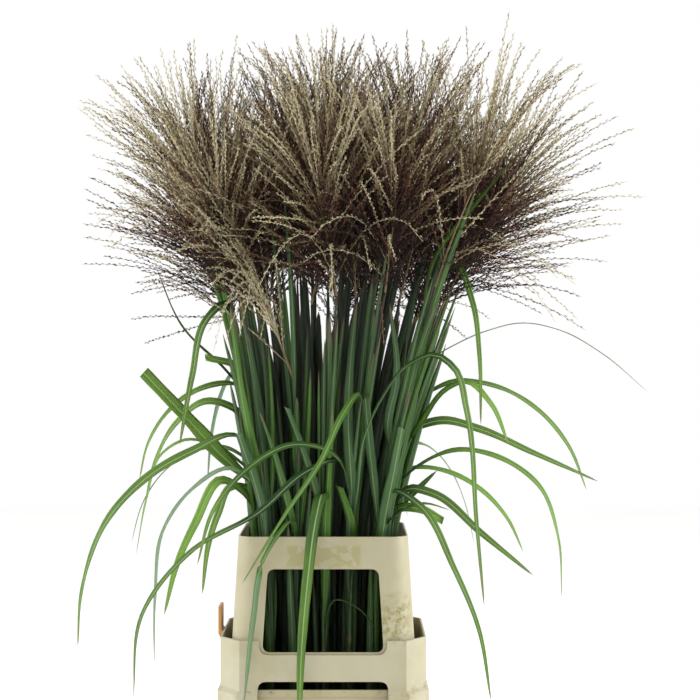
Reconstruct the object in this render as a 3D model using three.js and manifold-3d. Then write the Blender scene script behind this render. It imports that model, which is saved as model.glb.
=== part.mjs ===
// Potted punktchen miscanthus: cut flowering stems of the grass, standing in water in a square bucket
// with two window collars on it. Millimetres, +Z up, front towards -Y, origin under the bucket's middle.
import * as THREE from 'three';
import { mergeVertices } from 'three/addons/utils/BufferGeometryUtils.js';
import Module from 'manifold-3d';

const wasm = await Module();
wasm.setup();

// Driving dimensions of the holder
const GAP = 0.4;
const WALL = 3;
const RIM_Z = 480;
const UPPER = { bottom: 285, topHalf: [121.5, 117], footHalf: [134, 129], topRadius: 26, footRadius: 40 };
const UPPER_WINDOW = { bottom: 317, top: 434, topHalf: 79, footHalf: 86, radius: 11 };
const LOWER = {
  bottom: 139, top: 334, half: [148, 132.4], flare: 4, flareZ: 258, step: 5, facet: [29.5, 42],
};
const LOWER_NOTCH = { bottom: 314, above: 40, half: 91, radius: 14 };
const LOWER_WINDOW = { bottom: 160, top: 276, topHalf: 92, footHalf: 96, radius: 12 };
const BUCKET = { baseHalf: 99, shoulderHalf: 117, rimHalf: 123, rimZ: 263, radius: 28, floor: 4 };
const SHOULDER = { bottom: 126, top: LOWER.bottom - GAP };
const BUCKET_LIP = { height: 10, out: 2 };
const LATCH = { width: 46, thick: 5, rise: 34, out: 9, root: 26, inset: 1 };
const WATER_TOP = 118;
const OVERCUT = 1;
const CUT_DEPTH = 400;
const CORNER_PULL = 0.5;

// Driving dimensions of the grass
const STEM_ROWS = [5, 6, 5, 6, 5];
const ROW_REACH = { rows: 0.9, odd: 0.8, even: 0.95, jitter: 0.035 };
const SPREAD = { foot: 80, rim: 98, slope: 0.1, bend: 2.85e-4, lean: 0.055 };
const STEM_COUNT = STEM_ROWS.reduce((sum, count) => sum + count, 0);
const CELL = 0.3;
const CULM = { foot: 3, top: 1.9, middle: 856, drop: 48, vary: 44, sides: 4, rings: 4 };
const LOW_PANICLE = { stem: 1, top: 705, away: [-0.6, -0.34, 1], narrow: 0.42 };
const UPRIGHT = {
  count: 4, width: [15, 23], length: [260, 420], lowest: 240,
  highest: 620, below: 25, facing: 0.8, vary: 0.4, hug: 1.4, rings: 3,
};
const ARCHING = {
  width: [10, 17], length: [260, 430], start: [500, 700], rise: [0.9, 1.2], fall: [1.1, 1.5],
  vary: 0.5, power: 0.6, lie: 0.6, turn: 0.3, rings: 6, steps: 4, backFrom: -0.2,
};
const BLADE = {
  thick: 1.1, channel: 0.22, root: 2.4, least: 1.6,
  neck: 0.2, widen: 3.4, taper: 0.55, cutAt: 0.6,
};
const AXIS = { length: [140, 195], foot: 2.2, top: 1.4, upright: 0.6, sides: 3, rings: 4 };
const RACEME = {
  count: 10, length: [175, 255], root: 0.4, radius: 1.3, sag: [0.02, 0.16],
  lowest: 0.12, highest: 0.98, turn: 2.4, vary: 0.5,
  spreadLow: 1.5, spreadTop: 0.5, spreadVary: [0.55, 1.05],
};
const FOCUS_Z = 690;
const LOBE_X = 60;
const OUTER = 0.7;
const CLEAR = 0.6;
const OFF_AXIS = [0.31, 0.95, 0.02];
const TRIES = 12;

// Long blades that show in front and at the sides: the stem and height they grow from, their width, how
// far the face is turned at the root and from there to the tip in degrees, and the points they pass
const FRONT_BLADES = [
  { stem: 2, from: 455, width: 23, lie: 0, turn: 0, cut: false, points: [
    [0, -104, 520], [-1, -122, 541], [-10, -146, 505], [-20, -156, 430], [-29, -160, 330],
    [-33, -158, 205]] },
  { stem: 3, from: 560, width: 14, lie: -45, turn: 20, cut: false, points: [
    [20, -128, 590], [-24, -150, 574], [-89, -172, 519], [-180, -188, 468], [-249, -190, 380],
    [-262, -186, 262]] },
  { stem: 3, from: 500, width: 13, lie: -40, turn: -15, cut: false, points: [
    [40, -108, 545], [15, -134, 598], [-43, -160, 613], [-105, -182, 580], [-150, -194, 525],
    [-172, -200, 450]] },
  { stem: 3, from: 640, width: 12, lie: -40, turn: 25, cut: false, points: [
    [51, -140, 684], [28, -172, 655], [0, -192, 595], [-50, -208, 520], [-110, -216, 425]] },
  { stem: 1, from: 455, width: 15, lie: 0, turn: 0, cut: false, points: [
    [-45, -112, 502], [-64, -134, 482], [-86, -144, 443], [-98, -148, 370], [-112, -150, 240]] },
  { stem: 5, from: 545, width: 28, lie: -65, turn: 0, cut: true, points: [
    [-142, -66, 587], [-200, -80, 650], [-259, -92, 714]] },
  { stem: 5, from: 740, width: 15, lie: -50, turn: -10, cut: false, points: [
    [-146, -76, 812], [-168, -86, 790], [-188, -92, 710], [-206, -96, 610]] },
  { stem: 5, from: 490, width: 17, lie: -60, turn: 0, cut: false, points: [
    [-118, -62, 540], [-147, -80, 558], [-184, -90, 497], [-207, -96, 447], [-228, -100, 366]] },
  { stem: 0, from: 600, width: 17, lie: -50, turn: 20, cut: false, points: [
    [-130, -118, 625], [-180, -132, 605], [-240, -146, 572], [-300, -158, 510], [-336, -165, 410],
    [-342, -165, 330]] },
  { stem: 0, from: 540, width: 14, lie: 50, turn: -20, cut: false, points: [
    [-134, -112, 577], [-185, -124, 548], [-225, -134, 491], [-236, -138, 400], [-238, -138, 300]] },
  { stem: 11, from: 690, width: 15, lie: -65, turn: 0, cut: true, points: [
    [-130, 4, 722], [-178, 4, 735]] },
  { stem: 11, from: 540, width: 9, lie: -40, turn: 0, cut: false, points: [
    [-120, 0, 575], [-160, 2, 602], [-206, 4, 612], [-243, 6, 590], [-264, 8, 528], [-281, 10, 440]] },
  { stem: 11, from: 500, width: 15, lie: -60, turn: 0, cut: false, points: [
    [-112, -8, 540], [-138, -12, 543], [-156, -14, 505], [-168, -16, 470], [-180, -18, 385]] },
  { stem: 16, from: 670, width: 8, lie: -30, turn: 0, cut: false, points: [
    [-150, 50, 715], [-215, 52, 780], [-259, 50, 880]] },
  { stem: 16, from: 600, width: 15, lie: -55, turn: 15, cut: false, points: [
    [-135, 52, 655], [-180, 54, 668], [-225, 56, 635], [-258, 58, 575], [-275, 60, 500]] },
  { stem: 4, from: 505, width: 12, lie: 45, turn: 10, cut: false, points: [
    [100, -112, 545], [138, -135, 525], [184, -150, 440], [219, -156, 354], [236, -158, 255]] },
  { stem: 4, from: 480, width: 9, lie: 30, turn: 0, cut: false, points: [
    [106, -112, 512], [142, -124, 528], [181, -130, 519]] },
  { stem: 10, from: 470, width: 17, lie: 60, turn: 0, cut: true, points: [
    [110, -52, 515], [142, -60, 514], [174, -66, 497]] },
  { stem: 10, from: 500, width: 15, lie: 55, turn: 10, cut: false, points: [
    [124, -72, 545], [160, -82, 538], [226, -98, 484], [300, -110, 424]] },
  { stem: 10, from: 545, width: 13, lie: 45, turn: -20, cut: false, points: [
    [140, -56, 578], [190, -66, 600], [255, -80, 590], [312, -92, 548], [336, -98, 480],
    [342, -100, 390]] },
  { stem: 10, from: 600, width: 15, lie: 50, turn: 0, cut: false, points: [
    [142, -62, 640], [180, -76, 690], [206, -84, 700], [240, -92, 670], [266, -98, 610]] },
  { stem: 10, from: 780, width: 11, lie: 40, turn: 20, cut: false, points: [
    [172, -92, 846], [190, -110, 866], [212, -122, 816], [222, -126, 740], [224, -128, 640]] },
  { stem: 15, from: 485, width: 15, lie: 70, turn: 0, cut: false, points: [
    [122, -6, 524], [168, -12, 568]] },
  { stem: 15, from: 700, width: 8, lie: 0, turn: 10, cut: false, points: [
    [183, -8, 748], [240, -12, 774], [293, -14, 786], [347, -16, 776], [415, -18, 738],
    [478, -20, 684]] },
  { stem: 15, from: 590, width: 16, lie: 60, turn: 0, cut: false, points: [
    [135, 20, 628], [176, 24, 640], [230, 27, 628], [312, 30, 592], [412, 34, 548]] },
  { stem: 3, from: 500, width: 14, lie: 25, turn: 25, cut: false, points: [
    [50, -135, 554], [57, -152, 618], [83, -156, 677], [122, -164, 726], [157, -168, 739],
    [184, -172, 720], [200, -175, 664], [214, -178, 507], [225, -178, 390]] },
  { stem: 4, from: 770, width: 16, lie: 50, turn: 0, cut: false, points: [
    [156, -156, 869], [215, -186, 950], [272, -206, 1019]] },
  { stem: 4, from: 590, width: 15, lie: 0, turn: 0, cut: false, points: [
    [92, -122, 640], [104, -138, 705], [94, -154, 812]] },
  { stem: 4, from: 440, width: 23, lie: 0, turn: 0, cut: true, points: [
    [88, -110, 505], [100, -122, 570], [112, -130, 636]] },
  { stem: 3, from: 460, width: 19, lie: 0, turn: 0, cut: true, points: [
    [38, -102, 500], [22, -114, 552]] },
  { stem: 1, from: 470, width: 22, lie: 0, turn: 0, cut: false, points: [
    [-50, -108, 520], [-66, -122, 585], [-90, -134, 660]] },
  { stem: 2, from: 480, width: 21, lie: 0, turn: 0, cut: true, points: [
    [-10, -112, 540], [-30, -126, 605], [-52, -138, 665]] },
  { stem: 3, from: 500, width: 20, lie: 0, turn: 0, cut: false, points: [
    [40, -116, 560], [36, -126, 640], [40, -136, 740], [48, -146, 815]] },
  { stem: 4, from: 480, width: 17, lie: 0, turn: 0, cut: true, points: [
    [74, -112, 540], [66, -126, 610], [60, -134, 680]] },
  { stem: 0, from: 470, width: 24, lie: 0, turn: 0, cut: true, points: [
    [-90, -110, 530], [-104, -120, 580], [-120, -130, 628]] },
  { stem: 0, from: 520, width: 22, lie: 0, turn: 0, cut: false, points: [
    [-100, -118, 600], [-116, -134, 690], [-130, -148, 810]] },
  { stem: 2, from: 350, width: 12, lie: 0, turn: 0, cut: false, points: [
    [18, -97, 388], [50, -103, 376], [80, -105, 340]] },
];

const COLOURS = {
  plastic: { color: 0xe6dcc0, roughness: 0.55, metalness: 0 },
  bucket: { color: 0xe0d4b4, roughness: 0.55, metalness: 0 },
  water: { color: 0x8fa08c, roughness: 0.1, metalness: 0 },
  leaf: { color: 0x4f8038, roughness: 0.6, metalness: 0 },
  panicle: { color: 0x8b7462, roughness: 0.85, metalness: 0 },
};

// Random draws that come out alike on every run
function draws(seed) {
  let state = seed * 7919 + 17;
  const next = () => {
    state = (state * 48271) % 2147483647;
    return state / 2147483647;
  };
  next();
  next();
  return { next, between: (low, high) => low + (high - low) * next() };
}

// Closed triangle mesh from a list of points and faces
function solidOf(points, faces) {
  const geometry = new THREE.BufferGeometry();
  geometry.setAttribute('position', new THREE.Float32BufferAttribute(points.flat(), 3));
  geometry.setIndex(faces.flat());
  return manifoldOf(geometry);
}

function manifoldOf(geometry) {
  const bare = geometry.clone();
  bare.deleteAttribute('normal');
  bare.deleteAttribute('uv');
  const merged = mergeVertices(bare, 1e-4);
  const vertProperties = new Float32Array(merged.attributes.position.array);
  const triVerts = new Uint32Array(merged.index.array);
  return new wasm.Manifold(new wasm.Mesh({ numProp: 3, vertProperties, triVerts }));
}

// The outer skin of the largest body: hollows that joining sealed are filled, and loose scraps dropped
function wholeBody(solid) {
  return solid.decompose().reduce((best, body) => (body.volume() > best.volume() ? body : best));
}

function geometryOf(solid) {
  const mesh = wholeBody(solid).getMesh();
  const geometry = new THREE.BufferGeometry();
  geometry.setAttribute('position', new THREE.Float32BufferAttribute(mesh.vertProperties, 3));
  geometry.setIndex(Array.from(mesh.triVerts));
  geometry.computeVertexNormals();
  return geometry;
}

// Skin between rings of equal length, with a flat cap on the first ring and a cap or a tip on the last.
// With alike set, a blade's upper and lower faces are split along the same diagonals.
function ringSolid(rings, tip, alike = false) {
  const count = rings[0].length;
  const points = rings.flat();
  const faces = [];
  for (let ring = 0; ring + 1 < rings.length; ring += 1) {
    for (let k = 0; k < count; k += 1) {
      const a = ring * count + k;
      const b = ring * count + ((k + 1) % count);
      if (alike && k % 2 === 1) {
        faces.push([a, b, a + count], [b, b + count, a + count]);
      } else {
        faces.push([a, b, b + count], [a, b + count, a + count]);
      }
    }
  }
  for (let k = 1; k + 1 < count; k += 1) {
    faces.push([0, k + 1, k]);
  }
  const last = (rings.length - 1) * count;
  if (tip) {
    points.push(tip);
    for (let k = 0; k < count; k += 1) {
      faces.push([last + k, last + ((k + 1) % count), points.length - 1]);
    }
  } else {
    for (let k = 1; k + 1 < count; k += 1) {
      faces.push([last, last + k, last + k + 1]);
    }
  }
  return solidOf(points, faces);
}

// Square outline with its four corners cut by a facet or rounded by an arc, run anticlockwise
function squareOutline(halfX, halfY, cornerX, cornerY, steps, round) {
  const outline = [];
  const signs = [[1, -1], [1, 1], [-1, 1], [-1, -1]];
  signs.forEach(([sx, sy], corner) => {
    for (let k = 0; k <= steps; k += 1) {
      const along = k / steps;
      const turn = corner % 2 === 0 ? along : 1 - along;
      const angle = (turn * Math.PI) / 2;
      const inX = round ? 1 - Math.sin(angle) : 1 - turn;
      const inY = round ? 1 - Math.cos(angle) : turn;
      outline.push([sx * (halfX - cornerX * inX), sy * (halfY - cornerY * inY)]);
    }
  });
  return outline;
}

function ringAt(outline, z) {
  return outline.map(([x, y]) => [x, y, z]);
}

// Upright plate with round corners that cuts a window right through front and back
function windowCutter(shape) {
  const { bottom, top, topHalf, footHalf, radius } = shape;
  const outline = new THREE.Shape();
  outline.moveTo(-footHalf + radius, bottom);
  outline.lineTo(footHalf - radius, bottom);
  outline.quadraticCurveTo(footHalf, bottom, footHalf - CORNER_PULL, bottom + radius);
  outline.lineTo(topHalf + CORNER_PULL, top - radius);
  outline.quadraticCurveTo(topHalf, top, topHalf - radius, top);
  outline.lineTo(-topHalf + radius, top);
  outline.quadraticCurveTo(-topHalf, top, -topHalf - CORNER_PULL, top - radius);
  outline.lineTo(-footHalf + CORNER_PULL, bottom + radius);
  outline.quadraticCurveTo(-footHalf, bottom, -footHalf + radius, bottom);
  const settings = { depth: CUT_DEPTH, bevelEnabled: false, curveSegments: 5 };
  const plate = new THREE.ExtrudeGeometry(outline, settings);
  plate.rotateX(Math.PI / 2);
  plate.translate(0, CUT_DEPTH / 2, 0);
  return manifoldOf(plate);
}

function upperCollar() {
  const { bottom, topHalf, footHalf, topRadius, footRadius } = UPPER;
  const outlineAt = (half, radius, inset) => squareOutline(
    half[0] - inset, half[1] - inset, radius - inset, radius - inset, 5, true);
  const outer = ringSolid([
    ringAt(outlineAt(footHalf, footRadius, 0), bottom),
    ringAt(outlineAt(topHalf, topRadius, 0), RIM_Z),
  ]);
  const inner = ringSolid([
    ringAt(outlineAt(footHalf, footRadius, WALL), bottom - OVERCUT),
    ringAt(outlineAt(topHalf, topRadius, WALL), RIM_Z + OVERCUT),
  ]);
  return outer.subtract(inner).subtract(windowCutter(UPPER_WINDOW));
}

// Plan of the lower collar: flat sides with a slanted facet across each corner
function lowerOutline(grow) {
  const [halfX, halfY] = LOWER.half;
  return squareOutline(halfX + grow, halfY + grow, LOWER.facet[0], LOWER.facet[1], 1, false);
}

function lowerCollar() {
  const { bottom, top, flare, flareZ, step } = LOWER;
  const outer = ringSolid([
    ringAt(lowerOutline(flare), bottom),
    ringAt(lowerOutline(flare), flareZ),
    ringAt(lowerOutline(0), flareZ + step),
    ringAt(lowerOutline(0), top),
  ]);
  const inner = ringSolid([
    ringAt(lowerOutline(flare - WALL), bottom - OVERCUT),
    ringAt(lowerOutline(flare - WALL), flareZ),
    ringAt(lowerOutline(-WALL), flareZ + step),
    ringAt(lowerOutline(-WALL), top + OVERCUT),
  ]);
  const { half, above } = LOWER_NOTCH;
  const notch = { ...LOWER_NOTCH, top: top + above, topHalf: half, footHalf: half };
  const shell = outer.subtract(inner).subtract(windowCutter(notch));
  return shell.subtract(windowCutter(LOWER_WINDOW)).add(latch(-LOWER.half[0], top));
}

// Upright tongue on the left side of a tier, standing off the wall above its edge
function latch(wallX, edgeZ) {
  const { width, thick, rise, out, root, inset } = LATCH;
  const inner = wallX + inset;
  const face = wallX - out + inset;
  const profile = new THREE.Shape();
  profile.moveTo(inner, edgeZ - root);
  profile.lineTo(inner, edgeZ - thick);
  profile.lineTo(face + thick, edgeZ - inset);
  profile.lineTo(face + thick, edgeZ + rise);
  profile.lineTo(face, edgeZ + rise);
  profile.lineTo(face, edgeZ - thick - inset);
  const tongue = new THREE.ExtrudeGeometry(profile, { depth: width, bevelEnabled: false });
  tongue.rotateX(Math.PI / 2);
  tongue.translate(0, width / 2, 0);
  return manifoldOf(tongue);
}

function bucketOutline(half, grow) {
  return squareOutline(half + grow, half + grow, BUCKET.radius + grow, BUCKET.radius + grow, 4, true);
}

// Half width of the bucket's outer wall at a height
function bucketHalf(z) {
  const { baseHalf, shoulderHalf, rimHalf, rimZ } = BUCKET;
  if (z < SHOULDER.bottom) {
    return baseHalf + ((shoulderHalf - baseHalf) * z) / SHOULDER.bottom;
  }
  return shoulderHalf + ((rimHalf - BUCKET_LIP.out - shoulderHalf) * (z - SHOULDER.bottom))
    / (rimZ - SHOULDER.bottom);
}

function bucket() {
  const { rimZ, floor } = BUCKET;
  const lipZ = rimZ - BUCKET_LIP.height;
  const outer = ringSolid([
    ringAt(bucketOutline(bucketHalf(0), 0), 0),
    ringAt(bucketOutline(bucketHalf(SHOULDER.bottom), 0), SHOULDER.bottom),
    ringAt(bucketOutline(bucketHalf(lipZ), 0), lipZ),
    ringAt(bucketOutline(bucketHalf(lipZ), BUCKET_LIP.out), lipZ),
    ringAt(bucketOutline(bucketHalf(rimZ), BUCKET_LIP.out), rimZ),
  ]);
  const shelf = ringSolid([
    ringAt(lowerOutline(LOWER.flare), SHOULDER.bottom),
    ringAt(lowerOutline(LOWER.flare), SHOULDER.top),
  ]);
  const hollow = ringSolid([
    ringAt(bucketOutline(bucketHalf(floor) - WALL, 0), floor),
    ringAt(bucketOutline(bucketHalf(SHOULDER.bottom) - WALL, 0), SHOULDER.bottom),
    ringAt(bucketOutline(bucketHalf(rimZ) - WALL, 0), rimZ + OVERCUT),
  ]);
  return outer.add(shelf).add(latch(-LOWER.half[0] - LOWER.flare, SHOULDER.top)).subtract(hollow);
}

// Stands of the stems in a unit square: five staggered rows with a small random shift
function stemStands() {
  const stands = [];
  STEM_ROWS.forEach((count, row) => {
    for (let k = 0; k < count; k += 1) {
      const random = draws(stands.length + 1);
      const reach = row % 2 === 0 ? ROW_REACH.odd : ROW_REACH.even;
      const jitter = ROW_REACH.jitter;
      stands.push([
        reach * ((2 * k) / (count - 1) - 1) + random.between(-jitter, jitter),
        ROW_REACH.rows * ((2 * row) / (STEM_ROWS.length - 1) - 1) + random.between(-jitter, jitter),
      ]);
    }
  });
  return stands;
}

// Half width of the bundle at a height: nearly straight in the holder, then opening like a fan
function spreadAt(z) {
  if (z < RIM_Z) {
    return SPREAD.foot + ((SPREAD.rim - SPREAD.foot) * z) / RIM_Z;
  }
  const h = z - RIM_Z;
  return SPREAD.rim + SPREAD.slope * h + SPREAD.bend * h * h;
}

// Middle of a stem at a height; every stem is scaled alike there, so no two culms meet
function stemPoint(stand, z) {
  const half = spreadAt(z);
  const lean = z > RIM_Z ? SPREAD.lean * (z - RIM_Z) : 0;
  return [stand[0] * half + lean, stand[1] * half, z];
}

const add = (p, q, scale = 1) => [p[0] + q[0] * scale, p[1] + q[1] * scale, p[2] + q[2] * scale];
const unit = (p) => {
  const length = Math.hypot(...p);
  return [p[0] / length, p[1] / length, p[2] / length];
};
const cross = (p, q) => [
  p[1] * q[2] - p[2] * q[1], p[2] * q[0] - p[0] * q[2], p[0] * q[1] - p[1] * q[0]];

// Tube of few sides along a path, ending flat, or in a point where pointed is set. The first ring may face
// along a direction of its own.
function rod(path, radii, sides, pointed, footAlong = null) {
  const rings = [];
  const last = path.length - 1;
  for (let k = 0; k <= last; k += 1) {
    const course = unit(add(path[Math.min(k + 1, last)], path[Math.max(k - 1, 0)], -1));
    const along = k === 0 && footAlong ? footAlong : course;
    const side = unit(cross(along, OFF_AXIS));
    const front = cross(along, side);
    const ring = [];
    for (let s = 0; s < sides; s += 1) {
      const angle = (2 * Math.PI * s) / sides;
      ring.push(add(add(path[k], side, radii[k] * Math.cos(angle)), front, radii[k] * Math.sin(angle)));
    }
    rings.push(ring);
  }
  return pointed ? ringSolid(rings.slice(0, -1), path[last]) : ringSolid(rings);
}

// Grass blade along a path: a shallow channel, four points a ring, thin edges and a thicker midrib
function blade({ path, side: level, lie, turn, cut }, widths) {
  const rings = [];
  const last = path.length - 1;
  for (let k = 0; k <= last; k += 1) {
    const along = unit(add(path[Math.min(k + 1, last)], path[Math.max(k - 1, 0)], -1));
    const flat = unit(cross(along, level));
    const angle = lie + (turn * k) / last;
    const side = add(level.map((v) => v * Math.cos(angle)), flat, Math.sin(angle));
    const up = unit(cross(along, side));
    const half = widths[k] / 2;
    const thick = BLADE.thick / 2;
    const rise = half * BLADE.channel;
    rings.push([
      add(path[k], up, -thick),
      add(add(path[k], side, half), up, rise),
      add(path[k], up, thick),
      add(add(path[k], side, -half), up, rise),
    ]);
  }
  return cut ? ringSolid(rings, null, true) : ringSolid(rings.slice(0, -1), path[last], true);
}

// Width along a blade: narrow at its sheath, full by a quarter of the length, then drawn out to the tip
function bladeWidth(s, width) {
  const shoulder = Math.min(1, BLADE.neck + s * BLADE.widen);
  return Math.max(width * shoulder * Math.pow(1 - s, BLADE.taper), BLADE.least);
}

// Path that starts at a slope, turns down as it goes and stays in one upright plane
function archPath(start, azimuth, length, rise, fall) {
  const { power, rings, steps } = ARCHING;
  const count = (rings - 1) * steps;
  const ds = length / count;
  const out = [Math.cos(azimuth), Math.sin(azimuth)];
  const path = [start];
  let point = start;
  for (let k = 0; k < count; k += 1) {
    const s = (k + 0.5) / count;
    const slope = rise - (rise + fall) * Math.pow(s, power);
    const level = Math.cos(slope) * ds;
    point = [point[0] + out[0] * level, point[1] + out[1] * level, point[2] + Math.sin(slope) * ds];
    if ((k + 1) % steps === 0) {
      path.push(point);
    }
  }
  return path;
}

// Smallest distance between two straight stretches
function stretchGap(p1, q1, p2, q2) {
  const d1 = add(q1, p1, -1);
  const d2 = add(q2, p2, -1);
  const r = add(p1, p2, -1);
  const dot = (u, v) => u[0] * v[0] + u[1] * v[1] + u[2] * v[2];
  const a = dot(d1, d1);
  const e = dot(d2, d2);
  const f = dot(d2, r);
  const c = dot(d1, r);
  const b = dot(d1, d2);
  const spare = a * e - b * b;
  const clamp = (v) => Math.min(1, Math.max(0, v));
  let s = spare > 1e-9 ? clamp((b * f - c * e) / spare) : 0;
  let t = (b * s + f) / e;
  if (t < 0 || t > 1) {
    t = clamp(t);
    s = clamp((b * t - c) / a);
  }
  return Math.hypot(...add(add(r, d1, s), d2, -t));
}

// All that already stands, as stretches with a radius and the stem that owns them
const placed = [];

function register(owner, path, radius) {
  for (let k = 0; k + 1 < path.length; k += 1) {
    placed.push({ owner, p: path[k], q: path[k + 1], radius });
  }
}

// The leafy part of a stem and its panicle are separate pieces, so each keeps clear of the other
const panicleOf = (index) => index + STEM_COUNT;

function isClear(owner, path, radius) {
  for (let k = 0; k + 1 < path.length; k += 1) {
    for (const other of placed) {
      if (other.owner === owner) {
        continue;
      }
      if (stretchGap(path[k], path[k + 1], other.p, other.q) < radius + other.radius + CLEAR) {
        return false;
      }
    }
  }
  return true;
}

// A drawn path that keeps clear of every other stem, or nothing after the last try
function clearPath(owner, radius, draw) {
  for (let attempt = 0; attempt < TRIES; attempt += 1) {
    const path = draw();
    if (isClear(owner, path, radius)) {
      register(owner, path, radius);
      return path;
    }
  }
  return null;
}

const stands = stemStands();

function culmPath(stand, top, rings = CULM.rings) {
  const foot = BUCKET.floor + GAP;
  const path = [];
  for (let k = 0; k < rings; k += 1) {
    path.push(stemPoint(stand, foot + ((top - foot) * k) / (rings - 1)));
  }
  return path;
}

function culmRadii(grow = 0) {
  return Array.from({ length: CULM.rings }, (_, k) => (
    CULM.foot + ((CULM.top - CULM.foot) * k) / (CULM.rings - 1) + grow));
}

// One upright blade beside its culm, kept inside the stem's own share of the bundle
function uprightPath(stand, z0, azimuth, length, width) {
  const path = [];
  const out = [Math.cos(azimuth), Math.sin(azimuth), 0];
  for (let k = 0; k < UPRIGHT.rings + 1; k += 1) {
    const s = k / UPRIGHT.rings;
    const z = z0 + s * length;
    const room = Math.max(CELL * spreadAt(z) * 0.5 - width * 0.5, 2);
    const away = k === 0 ? 0 : CULM.foot + Math.pow(s, UPRIGHT.hug) * room;
    path.push(add(stemPoint(stand, z), out, away));
  }
  return path;
}

function makeStem(index) {
  const stand = stands[index];
  const random = draws(100 + index);
  const reach = Math.min(1, Math.hypot(...stand));
  const drawn = CULM.middle - CULM.drop * reach * reach + random.between(-CULM.vary, CULM.vary);
  const top = index === LOW_PANICLE.stem ? LOW_PANICLE.top : drawn;
  const isOuter = Math.max(Math.abs(stand[0]), Math.abs(stand[1])) > OUTER;
  const stem = { index, stand, top, random, isOuter, blades: [], racemes: [] };
  stem.culm = culmPath(stand, top);
  register(index, stem.culm, CULM.foot);
  return stem;
}

function addUprights(stem) {
  const turn = Math.PI / 2 + stem.random.between(-UPRIGHT.facing, UPRIGHT.facing);
  const { count } = UPRIGHT;
  for (let k = 0; k < count; k += 1) {
    const share = (k + stem.random.between(0.1, 0.9)) / count;
    const z0 = UPRIGHT.lowest + (UPRIGHT.highest - UPRIGHT.lowest) * share;
    const azimuth = turn + k * Math.PI + stem.random.between(-UPRIGHT.vary, UPRIGHT.vary);
    const length = Math.min(stem.random.between(...UPRIGHT.length), stem.top - UPRIGHT.below - z0);
    const width = stem.random.between(...UPRIGHT.width);
    const path = uprightPath(stem.stand, z0, azimuth, length, width);
    register(stem.index, path, width / 2);
    const side = [-Math.sin(azimuth), Math.cos(azimuth), 0];
    stem.blades.push({ path, width, side, lie: 0, turn: 0, cut: false });
  }
}

// The long blades named above, each grown from its own stem
function addFrontBlade(stem, { from, width, lie, turn, cut, points }) {
  const start = stemPoint(stem.stand, from);
  const path = [start, ...points];
  const [x, y] = add(path[path.length - 1], start, -1);
  const level = Math.hypot(x, y);
  register(stem.index, path, width / 2);
  const side = [-y / level, x / level, 0];
  const { degToRad } = THREE.MathUtils;
  stem.blades.push({ path, width, side, lie: degToRad(lie), turn: degToRad(turn), cut });
}

// Stems at the sides and the back carry a blade that rises, arches over and hangs outside the holder
function addArching(stem) {
  const [a, b] = stem.stand;
  if (!stem.isOuter || b < ARCHING.backFrom) {
    return;
  }
  const width = stem.random.between(...ARCHING.width);
  let azimuth = 0;
  const path = clearPath(stem.index, width / 2, () => {
    azimuth = Math.atan2(b, a) + stem.random.between(-ARCHING.vary, ARCHING.vary);
    const start = stemPoint(stem.stand, stem.random.between(...ARCHING.start));
    const length = stem.random.between(...ARCHING.length);
    const rise = stem.random.between(...ARCHING.rise);
    const fall = stem.random.between(...ARCHING.fall);
    return archPath(start, azimuth, length, rise, fall);
  });
  if (path) {
    const side = [-Math.sin(azimuth), Math.cos(azimuth), 0];
    const lie = a < 0 ? -ARCHING.lie : ARCHING.lie;
    stem.blades.push({ path, width, side, lie, turn: ARCHING.turn, cut: false });
  }
}

// The panicle's axis goes on from the culm and leans away from the middle of its lobe
function addAxis(stem) {
  const start = stemPoint(stem.stand, stem.top);
  const lobe = [stem.stand[0] < 0 ? -LOBE_X : LOBE_X, 0, FOCUS_Z];
  const low = stem.index === LOW_PANICLE.stem;
  const away = unit(low ? LOW_PANICLE.away : add(start, lobe, -1));
  const length = stem.random.between(...AXIS.length);
  const path = [];
  for (let k = 0; k < AXIS.rings; k += 1) {
    const s = k / (AXIS.rings - 1);
    const from = unit(add([away[0] * AXIS.upright, away[1] * AXIS.upright, 1], away, s));
    path.push(k === 0 ? add(start, [0, 0, GAP]) : add(path[k - 1], from, length / (AXIS.rings - 1)));
  }
  stem.axis = path;
  stem.away = away;
  register(panicleOf(stem.index), path, AXIS.foot);
}

// Racemes fan out from the axis, the lower ones further, and arch a little under their weight
function addRacemes(stem) {
  for (let k = 0; k < RACEME.count; k += 1) {
    const share = k / (RACEME.count - 1);
    const spot = RACEME.lowest + (RACEME.highest - RACEME.lowest) * share;
    const path = clearPath(panicleOf(stem.index), RACEME.radius, () => {
      const at = spot * (AXIS.rings - 1);
      const low = Math.min(Math.floor(at), AXIS.rings - 2);
      const start = add(stem.axis[low], add(stem.axis[low + 1], stem.axis[low], -1), at - low);
      const angle = k * RACEME.turn + stem.random.between(-RACEME.vary, RACEME.vary);
      const widest = RACEME.spreadLow + (RACEME.spreadTop - RACEME.spreadLow) * share;
      const narrow = stem.index === LOW_PANICLE.stem ? LOW_PANICLE.narrow : 1;
      const spread = widest * narrow * stem.random.between(...RACEME.spreadVary);
      const side = unit(cross(stem.away, OFF_AXIS));
      const front = cross(stem.away, side);
      const lean = add(add(stem.away, side, spread * Math.cos(angle)), front, spread * Math.sin(angle));
      const length = stem.random.between(...RACEME.length);
      const sag = stem.random.between(...RACEME.sag);
      const along = unit(lean);
      const middle = add(start, along, length * 0.5);
      const tip = add(add(start, along, length), [0, 0, -1], length * sag);
      return [start, middle, tip];
    });
    if (path) {
      stem.racemes.push(path);
    }
  }
}

const stems = stands.map((_, index) => makeStem(index));
stems.forEach(addAxis);
stems.forEach(addUprights);
FRONT_BLADES.forEach((row) => addFrontBlade(stems[row.stem], row));
stems.forEach(addArching);
stems.forEach(addRacemes);

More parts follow.
